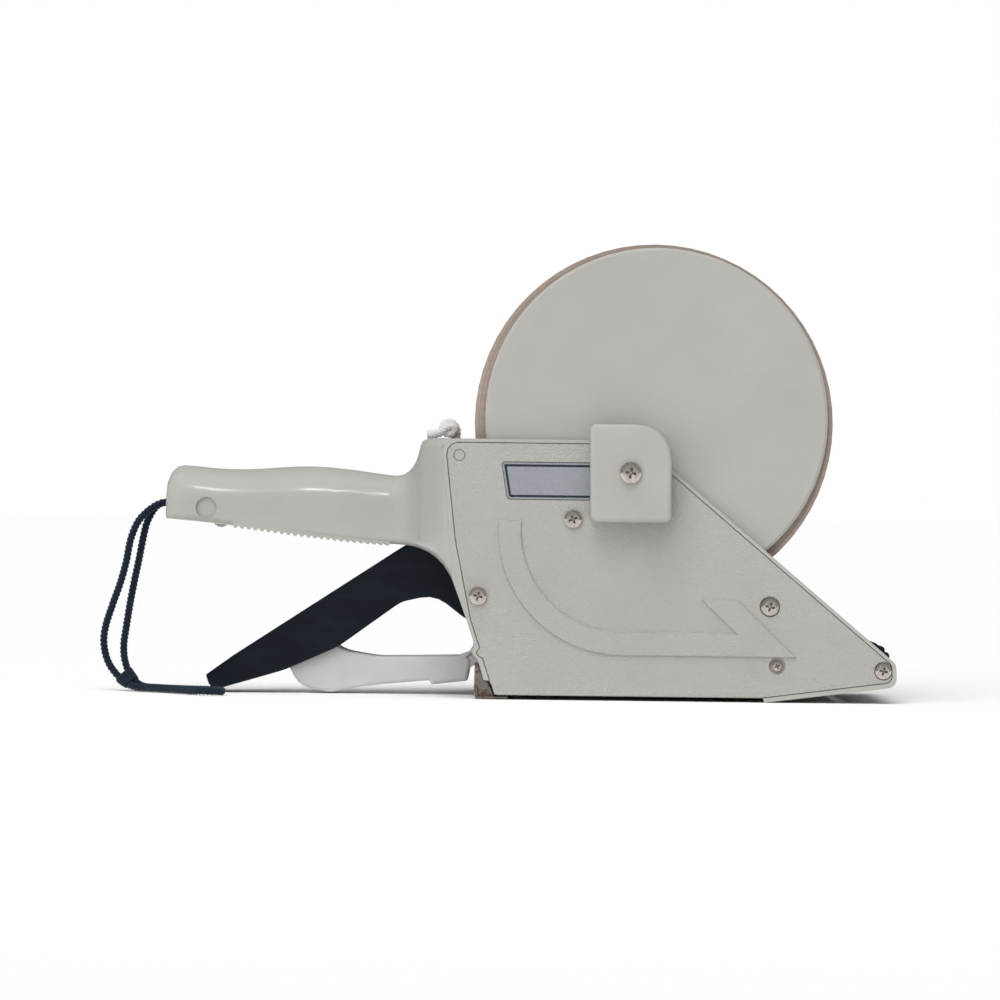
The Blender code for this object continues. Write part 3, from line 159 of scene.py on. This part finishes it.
# ---- material helpers -------------------------------------------------------------------------
class Nodes:
    """Short names for building one material's node tree."""

    def __init__(self, name):
        self.material = bpy.data.materials.new(name)
        self.material.use_nodes = True
        self.tree = self.material.node_tree
        self.shader = self.tree.nodes["Principled BSDF"]
        self.place = self.add("ShaderNodeTexCoord").outputs["Object"]

    def add(self, kind, **values):
        """A new node with some of its own settings."""
        node = self.tree.nodes.new(kind)
        for key, value in values.items():
            setattr(node, key, value)
        return node

    def feed(self, node, socket, value):
        """Links another node's output to a socket, or sets the socket to a fixed value."""
        if isinstance(value, bpy.types.NodeSocket):
            self.tree.links.new(value, node.inputs[socket])
        elif isinstance(value, tuple) and len(value) == 3 and node.inputs[socket].type == "RGBA":
            node.inputs[socket].default_value = (*value, 1.0)
        else:
            node.inputs[socket].default_value = value

    def set(self, **values):
        """Feeds the material's own shader; an underscore stands for a space."""
        for key, value in values.items():
            self.feed(self.shader, key.replace("_", " "), value)

    def noise(self, scale, detail=3.0, stretch=(1.0, 1.0, 1.0), distortion=0.0):
        mapping = self.add("ShaderNodeMapping")
        self.feed(mapping, "Vector", self.place)
        mapping.inputs["Scale"].default_value = stretch
        node = self.add("ShaderNodeTexNoise")
        self.feed(node, "Vector", mapping.outputs["Vector"])
        self.feed(node, "Scale", scale)
        self.feed(node, "Detail", detail)
        self.feed(node, "Distortion", distortion)
        return node.outputs["Fac"]

    def cells(self, scale):
        node = self.add("ShaderNodeTexVoronoi", feature="F1")
        self.feed(node, "Vector", self.place)
        self.feed(node, "Scale", scale)
        return node.outputs["Distance"]

    def ramp(self, value, low, high, first=0.0, last=1.0):
        """Maps low..high onto first..last and holds the ends."""
        node = self.add("ShaderNodeMapRange")
        self.feed(node, "Value", value)
        self.feed(node, "From Min", low)
        self.feed(node, "From Max", high)
        self.feed(node, "To Min", first)
        self.feed(node, "To Max", last)
        return node.outputs["Result"]

    def math(self, operation, a, b):
        node = self.add("ShaderNodeMath", operation=operation)
        self.feed(node, 0, a)
        self.feed(node, 1, b)
        return node.outputs["Value"]

    def mix(self, factor, a, b):
        node = self.add("ShaderNodeMix", data_type="RGBA")
        self.feed(node, "Factor", factor)
        for socket, value in ((6, a), (7, b)):
            if isinstance(value, tuple):
                node.inputs[socket].default_value = (*value, 1.0)
            else:
                self.tree.links.new(value, node.inputs[socket])
        return node.outputs[2]

    def round_edges(self, radius):
        node = self.add("ShaderNodeBevel", samples=BEVEL_SAMPLES)
        self.feed(node, "Radius", radius)
        return node.outputs["Normal"]

    def edge_mask(self, radius, strength):
        """1 on an edge or in a corner, 0 on the flats."""
        geometry = self.add("ShaderNodeNewGeometry")
        dot = self.add("ShaderNodeVectorMath", operation="DOT_PRODUCT")
        self.feed(dot, 0, self.round_edges(radius))
        self.feed(dot, 1, geometry.outputs["Normal"])
        return self.ramp(dot.outputs["Value"], 1.0, 1.0 - strength)

    def recess_shade(self, reach):
        """Painted shade from ambient occlusion: 1 deep in a recess or where two pieces meet, 0 in the open.
        """
        node = self.add("ShaderNodeAmbientOcclusion", samples=OCCLUSION_SAMPLES)
        self.feed(node, "Distance", reach)
        return self.ramp(node.outputs["AO"], 0.88, 0.42)

    def bump(self, height, distance, strength=1.0, normal=None):
        node = self.add("ShaderNodeBump")
        self.feed(node, "Height", height)
        self.feed(node, "Distance", distance)
        self.feed(node, "Strength", strength)
        if normal is not None:
            self.feed(node, "Normal", normal)
        return node.outputs["Normal"]


def pale_plastic(name, roughness, grain, grain_size, grain_depth, grime):
    """Warm light grey moulding: faint clouding, fine skin, and grime caught along worn edges."""
    n = Nodes(name)
    clouds = n.noise(28.0, 4.0)
    colour = n.mix(n.ramp(clouds, 0.35, 0.7), PLASTIC, PLASTIC_SHADE)
    edge = n.math("MULTIPLY", n.edge_mask(PLASTIC_WEAR, 0.25), n.ramp(n.noise(260.0, 5.0), 0.42, 0.72))
    colour = n.mix(n.math("MULTIPLY", edge, grime), colour, GRIME)
    skin = n.cells(grain_size) if grain == "leather" else n.noise(grain_size, 2.0)
    normal = n.bump(skin, grain_depth, 1.0, n.round_edges(PLASTIC_EDGE))
    gloss = n.ramp(n.noise(90.0, 3.0), 0.3, 0.7, roughness - 0.05, roughness + 0.07)
    n.set(Base_Color=colour, Roughness=gloss, Normal=normal, Specular_IOR_Level=0.45)
    return n


def shell_plastic():
    """Glossy skin of the frame halves."""
    n = pale_plastic("shell_plastic", roughness=0.2, grain="fine", grain_size=420.0,
                     grain_depth=0.00002, grime=0.25)
    n.set(Coat_Weight=0.35, Coat_Roughness=0.08)
    return n.material


def cover_plastic():
    """Leather-grained skin of the side covers."""
    return pale_plastic("cover_plastic", roughness=0.5, grain="leather", grain_size=1500.0,
                        grain_depth=0.0003, grime=0.12).material


def disc_plastic():
    """Satin skin of the guard discs and clamp blocks, grimy along its edges."""
    return pale_plastic("disc_plastic", roughness=0.42, grain="fine", grain_size=900.0,
                        grain_depth=0.00004, grime=0.55).material


def name_plate():
    """Blue-grey lacquered face of the name plates."""
    n = Nodes("name_plate")
    colour = n.mix(n.ramp(n.noise(60.0, 4.0), 0.3, 0.75), PLATE_FACE, tuple(0.9 * c for c in PLATE_FACE))
    n.set(Base_Color=colour, Roughness=n.ramp(n.noise(300.0), 0.3, 0.7, 0.22, 0.34),
          Normal=n.bump(n.noise(1800.0, 2.0), 0.00001), Coat_Weight=0.4, Coat_Roughness=0.12)
    return n.material


def plate_border():
    """Dark printing ink."""
    n = Nodes("plate_border")
    colour = n.mix(n.ramp(n.noise(700.0, 4.0), 0.45, 0.8), PLATE_BORDER, tuple(3.0 * c for c in PLATE_BORDER))
    n.set(Base_Color=colour, Roughness=0.35, Normal=n.bump(n.noise(2400.0), 0.00001))
    return n.material


def metal(name, bright, dull, roughness, stretch, spots):
    """Metal with fine handling scratches and dull patches. Its edges and corners are darkened, partly as wear
    and partly as painted shade, and its recesses and joins get painted shade.
    """
    n = Nodes(name)
    patches = n.ramp(n.noise(spots, 5.0, distortion=0.6), 0.4, 0.7)
    colour = n.mix(patches, bright, dull)
    # darker on every edge and in every corner: wear on the outer edges, painted shade in the corners and
    # recess edges
    edge_wear_and_shade = n.math("MULTIPLY", n.edge_mask(METAL_WEAR_AND_SHADE, 0.4), 0.35)
    colour = n.mix(edge_wear_and_shade, colour, tuple(0.4 * c for c in dull))
    # painted shade: darker deep in recesses and where the piece meets another, found by ambient occlusion
    colour = n.mix(n.math("MULTIPLY", n.recess_shade(METAL_SHADE_REACH), 0.85), colour, PAINTED_SHADE_COLOUR)
    scratches = n.noise(SCRATCH_SCALE, 2.0, stretch)
    n.set(Base_Color=colour, Metallic=1.0, Roughness=n.ramp(patches, 0.0, 1.0, roughness, roughness + 0.16),
          Normal=n.bump(scratches, SCRATCH_DEPTH, 1.0, n.round_edges(METAL_EDGE)))
    return n


def sheet_steel():
    """Worn sheet: grey skin that has rusted through in blotches."""
    n = metal("sheet_steel", SHEET, tuple(0.8 * c for c in SHEET), roughness=0.42, stretch=(1.0, 0.2, 1.0),
              spots=240.0)
    rust = n.ramp(n.noise(330.0, 8.0, distortion=1.2), 0.5, 0.62)
    base = n.shader.inputs["Base Color"].links[0].from_socket
    n.set(Base_Color=n.mix(rust, base, RUST), Metallic=n.ramp(rust, 0.0, 1.0, 0.85, 0.05),
          Roughness=n.ramp(rust, 0.0, 1.0, 0.4, 0.85))
    return n.material


def trigger_plastic():
    """Blue-black satin moulding, rubbed lighter in faint streaks along its length."""
    n = Nodes("trigger_plastic")
    streaks = n.ramp(n.noise(55.0, 6.0, (0.5, 3.0, 2.2), 0.8), 0.45, 0.75)
    edge = n.math("MULTIPLY", n.edge_mask(TRIGGER_WEAR, 0.3), n.ramp(n.noise(300.0, 4.0), 0.4, 0.7))
    colour = n.mix(streaks, TRIGGER_BLUE, TRIGGER_WORN)
    colour = n.mix(n.math("MULTIPLY", edge, 0.5), colour, tuple(2.5 * c for c in TRIGGER_WORN))
    n.set(Base_Color=colour, Roughness=n.ramp(streaks, 0.0, 1.0, 0.42, 0.56), Specular_IOR_Level=0.16,
          Normal=n.bump(n.noise(1500.0, 3.0), 0.00006, 1.0, n.round_edges(TRIGGER_EDGE)))
    return n.material


def lever_plastic():
    """Milky nylon that lets a little light through."""
    n = Nodes("lever_plastic")
    colour = n.mix(n.ramp(n.noise(70.0, 5.0), 0.4, 0.75), MILK_WHITE, tuple(0.92 * c for c in MILK_WHITE))
    n.set(Base_Color=colour, Roughness=n.ramp(n.noise(160.0, 4.0), 0.3, 0.7, 0.3, 0.45),
          Normal=n.bump(n.noise(500.0, 3.0), 0.00006, 1.0, n.round_edges(LEVER_EDGE)),
          Subsurface_Weight=0.5, Subsurface_Radius=(0.9, 0.85, 0.8), Subsurface_Scale=0.004)
    return n.material


def rubber():
    """Black rubber, greyed by handling."""
    n = Nodes("black_rubber")
    colour = n.mix(n.ramp(n.noise(240.0, 6.0), 0.45, 0.75), RUBBER, tuple(3.2 * c for c in RUBBER))
    n.set(Base_Color=colour, Roughness=n.ramp(n.noise(500.0), 0.3, 0.7, 0.6, 0.8), Specular_IOR_Level=0.35,
          Normal=n.bump(n.noise(2600.0, 3.0), 0.00008, 1.0, n.round_edges(RUBBER_EDGE)))
    return n.material


def acetal():
    """Cream gear plastic."""
    n = Nodes("gear_plastic")
    colour = n.mix(n.ramp(n.noise(120.0, 4.0), 0.4, 0.75), ACETAL, tuple(0.85 * c for c in ACETAL))
    n.set(Base_Color=colour, Roughness=n.ramp(n.noise(300.0), 0.3, 0.7, 0.32, 0.45),
          Normal=n.bump(n.noise(1600.0, 2.0), 0.00003, 1.0, n.round_edges(ACETAL_EDGE)))
    return n.material


def wound_kraft(axis):
    """Wound backing paper: the turns show as rings on the roll's side, and fibres show all over."""
    n = Nodes("kraft_paper")
    split = n.add("ShaderNodeSeparateXYZ")
    shift = n.add("ShaderNodeVectorMath", operation="SUBTRACT")
    n.feed(shift, 0, n.place)
    shift.inputs[1].default_value = axis
    n.feed(split, "Vector", shift.outputs["Vector"])
    x_squared = n.math("POWER", split.outputs["X"], 2.0)
    z_squared = n.math("POWER", split.outputs["Z"], 2.0)
    radius = n.math("SQRT", n.math("ADD", x_squared, z_squared), 0.0)
    rings = n.add("ShaderNodeTexNoise", noise_dimensions="1D")
    n.feed(rings, "W", radius)
    n.feed(rings, "Scale", RING_SCALE)
    n.feed(rings, "Detail", 3.0)
    fibres = n.noise(700.0, 6.0, (0.35, 1.0, 1.0))
    mottle = n.math("ADD", n.math("MULTIPLY", rings.outputs["Fac"], 0.65), n.math("MULTIPLY", fibres, 0.35))
    colour = n.mix(n.ramp(mottle, 0.36, 0.64), KRAFT_DARK, KRAFT)
    n.set(Base_Color=colour, Roughness=0.82, Specular_IOR_Level=0.25, Normal=n.bump(mottle, 0.0002, 0.7))
    return n.material


def flat_paper(name, light, dark):
    """Paper in flat sheets, with faint fibres."""
    n = Nodes(name)
    fibres = n.noise(900.0, 6.0, (0.4, 1.0, 1.0))
    n.set(Base_Color=n.mix(n.ramp(fibres, 0.35, 0.65), dark, light), Roughness=0.62,
          Normal=n.bump(fibres, 0.00004))
    return n.material


def yarn(name, dark, light):
    """Polyester yarn: fine fibres over the strands, with a soft sheen."""
    n = Nodes(name)
    fibres = n.noise(YARN_SCALE, 5.0, (1.0, 1.0, 0.35), 0.5)
    n.set(Base_Color=n.mix(n.ramp(fibres, 0.38, 0.68), dark, light), Roughness=0.85, Specular_IOR_Level=0.15,
          Sheen_Weight=0.25, Sheen_Roughness=0.4, Normal=n.bump(fibres, 0.00018))
    return n.material


# ---- shape helpers ----------------------------------------------------------------------------
def smooth_path(points, step):
    """Points every step metres on a Catmull-Rom curve through a cord's route."""
    route = [Vector(p) for p in points]
    dense = []
    for i in range(len(route) - 1):
        p0, p1 = route[max(i - 1, 0)], route[i]
        p2, p3 = route[i + 1], route[min(i + 2, len(route) - 1)]
        for k in range(CURVE_STEPS):
            t = k / CURVE_STEPS
            dense.append(0.5 * ((2 * p1) + (p2 - p0) * t + (2 * p0 - 5 * p1 + 4 * p2 - p3) * t ** 2
                                + (3 * p1 - p0 - 3 * p2 + p3) * t ** 3))
    dense.append(route[-1])
    walked = [0.0]
    for a, b in zip(dense, dense[1:]):
        walked.append(walked[-1] + (b - a).length)
    count = max(2, round(walked[-1] / step))
    out, index = [], 0
    for k in range(count + 1):
        goal = walked[-1] * k / count
        while index < len(dense) - 2 and walked[index + 1] < goal:
            index += 1
        share = (goal - walked[index]) / max(walked[index + 1] - walked[index], 1e-9)
        out.append(dense[index].lerp(dense[index + 1], min(share, 1.0)))
    return out


def frames(path):
    """A pair of cross directions at each point of a path, carried along it without spin."""
    out = []
    side = Vector((0.0, 1.0, 0.0))
    for i in range(len(path)):
        along = (path[min(i + 1, len(path) - 1)] - path[max(i - 1, 0)]).normalized()
        side = (side - along * side.dot(along)).normalized()
        out.append((side, along.cross(side)))
    return out


def mesh_object(name, vertices, faces, look, body, smooth=True):
    """A new piece that rides one of the CAD model's bodies."""
    mesh = bpy.data.meshes.new(name)
    mesh.from_pydata([tuple(v) for v in vertices], [], faces)
    mesh.validate()
    mesh.materials.append(look)
    made = bpy.data.objects.new(name, mesh)
    bpy.context.collection.objects.link(made)
    for face in mesh.polygons:
        face.use_smooth = smooth
    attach(made, body)
    return made


def corded_tube(path, radius, strands, lay, groove, sides, second=-1.0):
    """Vertices and faces of a cord whose strands turn round it once every lay metres.

    The grooves between them go down by a share of the radius. The second set of strands turns the other
    way (-1, a braid) or with the first (1, a laid cord).
    """
    vertices, faces = [], []
    walked = 0.0
    last = len(path) - 1
    for i, (p, (u, v)) in enumerate(zip(path, frames(path))):
        if i:
            walked += (p - path[i - 1]).length
        end = CUT_END if i in (0, last) else 1.0
        turn = 2 * math.pi * walked / lay
        for k in range(sides):
            a = 2 * math.pi * k / sides
            wave = abs(math.cos(strands * (a + turn) / 2) * math.cos(strands * (a + second * turn) / 2))
            r = radius * end * (1.0 - groove + groove * wave)
            vertices.append(p + u * (r * math.cos(a)) + v * (r * math.sin(a)))
    for i in range(last):
        this, after = i * sides, (i + 1) * sides
        for k in range(sides):
            n = (k + 1) % sides
            faces.append((this + k, this + n, after + n, after + k))
    faces.append(tuple(reversed(range(sides))))
    faces.append(tuple(last * sides + k for k in range(sides)))
    return vertices, faces


def smooth_shading(limit):
    """Geometry nodes that weld a CAD solid's split corners and shade it smooth up to an edge angle."""
    group = bpy.data.node_groups.new("smooth_by_angle", "GeometryNodeTree")
    group.interface.new_socket("Geometry", in_out="INPUT", socket_type="NodeSocketGeometry")
    group.interface.new_socket("Geometry", in_out="OUTPUT", socket_type="NodeSocketGeometry")
    nodes, links = group.nodes, group.links
    start, end = nodes.new("NodeGroupInput"), nodes.new("NodeGroupOutput")
    weld = nodes.new("GeometryNodeMergeByDistance")
    weld.inputs["Distance"].default_value = WELD_DISTANCE
    bare = nodes.new("GeometryNodeRemoveAttribute")
    bare.inputs["Name"].default_value = "custom_normal"
    faces = nodes.new("GeometryNodeSetShadeSmooth")
    edges = nodes.new("GeometryNodeSetShadeSmooth")
    edges.domain = "EDGE"
    angle = nodes.new("GeometryNodeInputMeshEdgeAngle")
    compare = nodes.new("FunctionNodeCompare")
    compare.operation = "LESS_EQUAL"
    compare.inputs[1].default_value = limit
    links.new(start.outputs[0], weld.inputs["Geometry"])
    links.new(weld.outputs["Geometry"], bare.inputs["Geometry"])
    links.new(bare.outputs["Geometry"], faces.inputs["Geometry"])
    links.new(faces.outputs["Geometry"], edges.inputs["Geometry"])
    links.new(angle.outputs["Unsigned Angle"], compare.inputs[0])
    links.new(compare.outputs["Result"], edges.inputs["Shade Smooth"])
    links.new(edges.outputs["Geometry"], end.inputs[0])
    return group


# ---- pieces -----------------------------------------------------------------------------------
def dress_nodes(looks, group):
    """Gives each CAD solid its finish and soft shading."""
    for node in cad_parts.values():
        for place in node.material_slots:
            if place.material is not None:
                place.material = looks[place.material.name.split(".")[0]]
        node.modifiers.new("soft_shading", "NODES").node_group = group
        node.modifiers.new("flat_faces", "WEIGHTED_NORMAL").keep_sharp = True


def strap(look):
    """Wrist strap: one doubled laid cord, both ends in the handle."""
    path = smooth_path(STRAP_ROUTE, STRAP_STEP)
    vertices, faces = corded_tube(path, STRAP_CREST, STRAP_STRANDS, STRAP_LAY, STRAP_GROOVE, CORD_SIDES, 1.0)
    piece = mesh_object("strap_cord", vertices, faces, look, "frame")
    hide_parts("wrist_strap")
    return piece, path


def whipping(path, look):
    """Fine thread wound round both legs of the strap, close above the surface that it lies on."""
    half = len(path) // 2
    legs = []
    returning = path[half + FOLD_MARGIN:len(path) - HANDLE_MARGIN]
    for p in path[HANDLE_MARGIN:half - FOLD_MARGIN]:
        legs.append((p, min(returning, key=lambda q: (q - p).length)))
    place = min(range(len(legs)), key=lambda i: abs((legs[i][0].z + legs[i][1].z) / 2 - WHIPPING_HEIGHT))
    first, last = place - WHIPPING_REACH, place + WHIPPING_REACH
    along = (legs[last][0] + legs[last][1] - legs[first][0] - legs[first][1]).normalized()
    line = []
    total = WHIPPING_TURNS * WHIPPING_STEPS
    for k in range(total + 1):
        where = first + (last - first) * k / total
        low = int(where)
        share = where - low
        a = legs[low][0].lerp(legs[low + 1][0], share)
        b = legs[low][1].lerp(legs[low + 1][1], share)
        apart = b - a
        apart -= along * apart.dot(along)
        across = along.cross(apart).normalized()
        angle = 2 * math.pi * k / WHIPPING_STEPS
        reach = apart.length / 2 + STRAP_DIAMETER / 2 + WHIPPING_BESIDE
        rise = STRAP_DIAMETER / 2 + WHIPPING_OVER
        line.append((a + b) / 2 + apart.normalized() * (reach * math.cos(angle))
                    + across * (rise * math.sin(angle)))
    vertices, faces = corded_tube(line, THREAD_RADIUS, THREAD_STRANDS, THREAD_LAY, THREAD_GROOVE,
                                  THREAD_SIDES)
    return mesh_object("strap_whipping", vertices, faces, look, "frame")


def stopper_knot(look):
    """Short thick braid up through the roof, tied in an overhand knot, with its tail lying on the flare."""
    path = smooth_path(KNOT_ROUTE, KNOT_STEP)
    vertices, faces = corded_tube(path, KNOT_CREST, KNOT_STRANDS, KNOT_LAY, KNOT_GROOVE, CORD_SIDES)
    piece = mesh_object("stopper_knot", vertices, faces, look, "frame")
    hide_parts("hanging_cord", "cord_knot")


def outline_of(node, face_y):
    """Convex outline, in x and z, of the corners of a CAD solid that lie on the plane y = face_y."""
    points = sorted({(round(v.co.x, 6), round(v.co.z, 6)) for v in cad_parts[node].data.vertices
                     if abs(v.co.y - face_y) < SAME_PLANE})
    hull = []
    for sweep in (points, points[::-1]):
        part = []
        for p in sweep:
            while len(part) > 1 and ((part[-1][0] - part[-2][0]) * (p[1] - part[-2][1])
                                     - (part[-1][1] - part[-2][1]) * (p[0] - part[-2][0])) <= 0:
                part.pop()
            part.append(p)
        hull += part[:-1]
    return hull


def inset(outline, distance):
    """The outline moved inwards by a distance."""
    out = []
    for i, (x, z) in enumerate(outline):
        before = Vector(outline[i]) - Vector(outline[i - 1])
        after = Vector(outline[(i + 1) % len(outline)]) - Vector(outline[i])
        n1 = Vector((-before.y, before.x)).normalized()
        n2 = Vector((-after.y, after.x)).normalized()
        middle = (n1 + n2).normalized()
        reach = max(middle.dot(n1), MITRE_LIMIT)
        out.append((x + middle.x * distance / reach, z + middle.y * distance / reach))
    return out


def printed_border(side, look):
    """Dark printed line round a name plate's blank face."""
    node = "name_plate_" + side
    low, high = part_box(node)
    face_y, out = (low.y, -1.0) if side == "near" else (high.y, 1.0)
    outline = outline_of(node, face_y)
    outer, inner = inset(outline, BORDER_OUTSIDE), inset(outline, BORDER_INSIDE)
    top, under = face_y + out * BORDER_RISE, face_y - out * BORDER_RISE
    vertices = [(x, y, z) for y in (top, under) for loop in (outer, inner) for x, z in loop]
    count = len(outline)
    loops = [0, count, 3 * count, 2 * count, 0]
    faces = []
    for i in range(count):
        n = (i + 1) % count
        for a, b in zip(loops, loops[1:]):
            faces.append((a + i, a + n, b + n, b + i))
    return mesh_object("plate_border_" + side, vertices, faces, look, "frame", smooth=False)


def web_labels(look):
    """Blank die-cut labels on the upper face of the web, where it runs level to the nose."""
    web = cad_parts["label_web"]
    straight = LABEL_WIDTH / 2 - LABEL_CORNER
    vertices, faces = [], []
    for start in LABEL_STARTS:
        first = len(vertices)
        for k in range(LABEL_STEPS + 1):
            along = LABEL_LENGTH * k / LABEL_STEPS
            near_end = max(LABEL_CORNER - min(along, LABEL_LENGTH - along), 0.0)
            reach = straight + math.sqrt(max(LABEL_CORNER ** 2 - near_end ** 2, 0.0))
            x = start + along
            _, place, _, _ = web.ray_cast((x, 0.0, WEB_ABOVE), (0.0, 0.0, -1.0))
            for y in (-reach, reach):
                vertices += [(x, y, place.z - LABEL_SINK), (x, y, place.z + LABEL_THICKNESS)]
        last = first + 4 * LABEL_STEPS
        for a in range(first, last, 4):
            b = a + 4
            faces += [(a + 1, a + 3, b + 3, b + 1), (a, b, b + 2, a + 2)]
            faces += [(a, a + 1, b + 1, b), (a + 2, b + 2, b + 3, a + 3)]
        faces += [(first, first + 2, first + 3, first + 1), (last, last + 1, last + 3, last + 2)]
    return mesh_object("web_labels", vertices, faces, look, "frame", smooth=False)


# ---- studio -----------------------------------------------------------------------------------
def softbox():
    """Small lamp over the handle: the only light that shows as a highlight."""
    data = bpy.data.lights.new("softbox", "AREA")
    data.shape = "RECTANGLE"
    data.size, data.size_y = SOFTBOX_SIZE
    data.energy = SOFTBOX_POWER
    lamp = bpy.data.objects.new("softbox", data)
    bpy.context.collection.objects.link(lamp)
    lamp.location = SOFTBOX_PLACE
    lamp.rotation_euler = (Vector(SOFTBOX_TARGET) - Vector(SOFTBOX_PLACE)).to_track_quat("-Z", "Y").to_euler()


def soft_sun(name, strength, softness, tilt):
    """Broad light from one direction that makes no highlight of its own."""
    data = bpy.data.lights.new(name, "SUN")
    data.energy = strength
    data.angle = math.radians(softness)
    lamp = bpy.data.objects.new(name, data)
    bpy.context.collection.objects.link(lamp)
    lamp.rotation_euler = [math.radians(angle) for angle in tilt]
    lamp.visible_glossy = False


def studio():
    """Pale floor, bright plain surroundings, a key from above, a weak fill from the front and a softbox."""
    mesh = bpy.data.meshes.new("floor")
    s = FLOOR_SIZE / 2
    mesh.from_pydata([(-s, -s, 0.0), (s, -s, 0.0), (s, s, 0.0), (-s, s, 0.0)], [], [(0, 1, 2, 3)])
    floor = bpy.data.objects.new("floor", mesh)
    bpy.context.collection.objects.link(floor)
    n = Nodes("floor_paint")
    n.set(Base_Color=FLOOR_COLOUR, Roughness=0.9, Specular_IOR_Level=0.1)
    mesh.materials.append(n.material)

    world = bpy.data.worlds.new("studio")
    bpy.context.scene.world = world
    world.use_nodes = True
    tree = world.node_tree
    surface = tree.nodes["Background"]
    seen = tree.nodes.new("ShaderNodeLightPath")
    level = tree.nodes.new("ShaderNodeMapRange")
    level.inputs["To Min"].default_value = ROOM_LIGHT
    level.inputs["To Max"].default_value = BACKGROUND
    tree.links.new(seen.outputs["Is Camera Ray"], level.inputs["Value"])
    tree.links.new(level.outputs["Result"], surface.inputs["Strength"])
    surface.inputs["Color"].default_value = (1.0, 1.0, 1.0, 1.0)

    soft_sun("key", KEY_STRENGTH, KEY_SOFTNESS, KEY_TILT)
    soft_sun("fill", FILL_STRENGTH, FILL_SOFTNESS, FILL_TILT)
    softbox()


def camera():
    """Long lens, level with the middle of the object's side and square to it."""
    data = bpy.data.cameras.new("camera")
    data.lens = CAMERA_LENS
    data.sensor_width = CAMERA_SENSOR
    data.clip_end = CAMERA_REACH
    eye = bpy.data.objects.new("camera", data)
    bpy.context.collection.objects.link(eye)
    eye.matrix_world = (Matrix.Translation(CAMERA_PLACE) @ Matrix.Rotation(math.pi / 2, 4, "X")
                        @ Matrix.Rotation(math.radians(CAMERA_ROLL), 4, "Z"))
    bpy.context.scene.camera = eye
    bpy.context.scene.view_settings.view_transform = "Standard"


# ---- build ------------------------------------------------------------------------------------
def finishes():
    """Every finish, by the name that the CAD model's slots use."""
    low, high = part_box("label_roll")
    worn_steel = tuple(0.8 * c for c in STEEL)
    return {
        "shell_plastic": shell_plastic(),
        "cover_plastic": cover_plastic(),
        "disc_plastic": disc_plastic(),
        "name_plate": name_plate(),
        "screw_steel": metal("screw_steel", NICKEL, NICKEL_WARM, roughness=0.16, stretch=(1.0, 1.0, 1.0),
                             spots=500.0).material,
        "shaft_steel": metal("shaft_steel", STEEL, worn_steel, roughness=0.24, stretch=(3.0, 0.2, 3.0),
                             spots=300.0).material,
        "sheet_steel": sheet_steel(),
        "trigger_plastic": trigger_plastic(),
        "lever_plastic": lever_plastic(),
        "black_rubber": rubber(),
        "gear_plastic": acetal(),
        "kraft_paper": wound_kraft(tuple((low + high) / 2)),
        "label_paper": flat_paper("label_paper", BACKING, tuple(0.88 * c for c in BACKING)),
        "navy_cord": yarn("navy_cord", NAVY, NAVY_LIGHT),
        "white_cord": yarn("white_cord", tuple(0.8 * c for c in BRAID_WHITE), BRAID_WHITE),
    }


def build():
    """Dresses the CAD solids, adds the new pieces, and sets the studio and the camera."""
    looks = finishes()
    dress_nodes(looks, smooth_shading(math.radians(SMOOTH_UP_TO)))
    cord, path = strap(looks["navy_cord"])
    binding = whipping(path, looks["navy_cord"])
    stopper_knot(looks["white_cord"])
    web_labels(flat_paper("label_face", PAPER, tuple(0.95 * c for c in PAPER)))
    border = plate_border()
    for side in ("near", "far"):
        printed_border(side, border)
    studio()
    camera()


build()
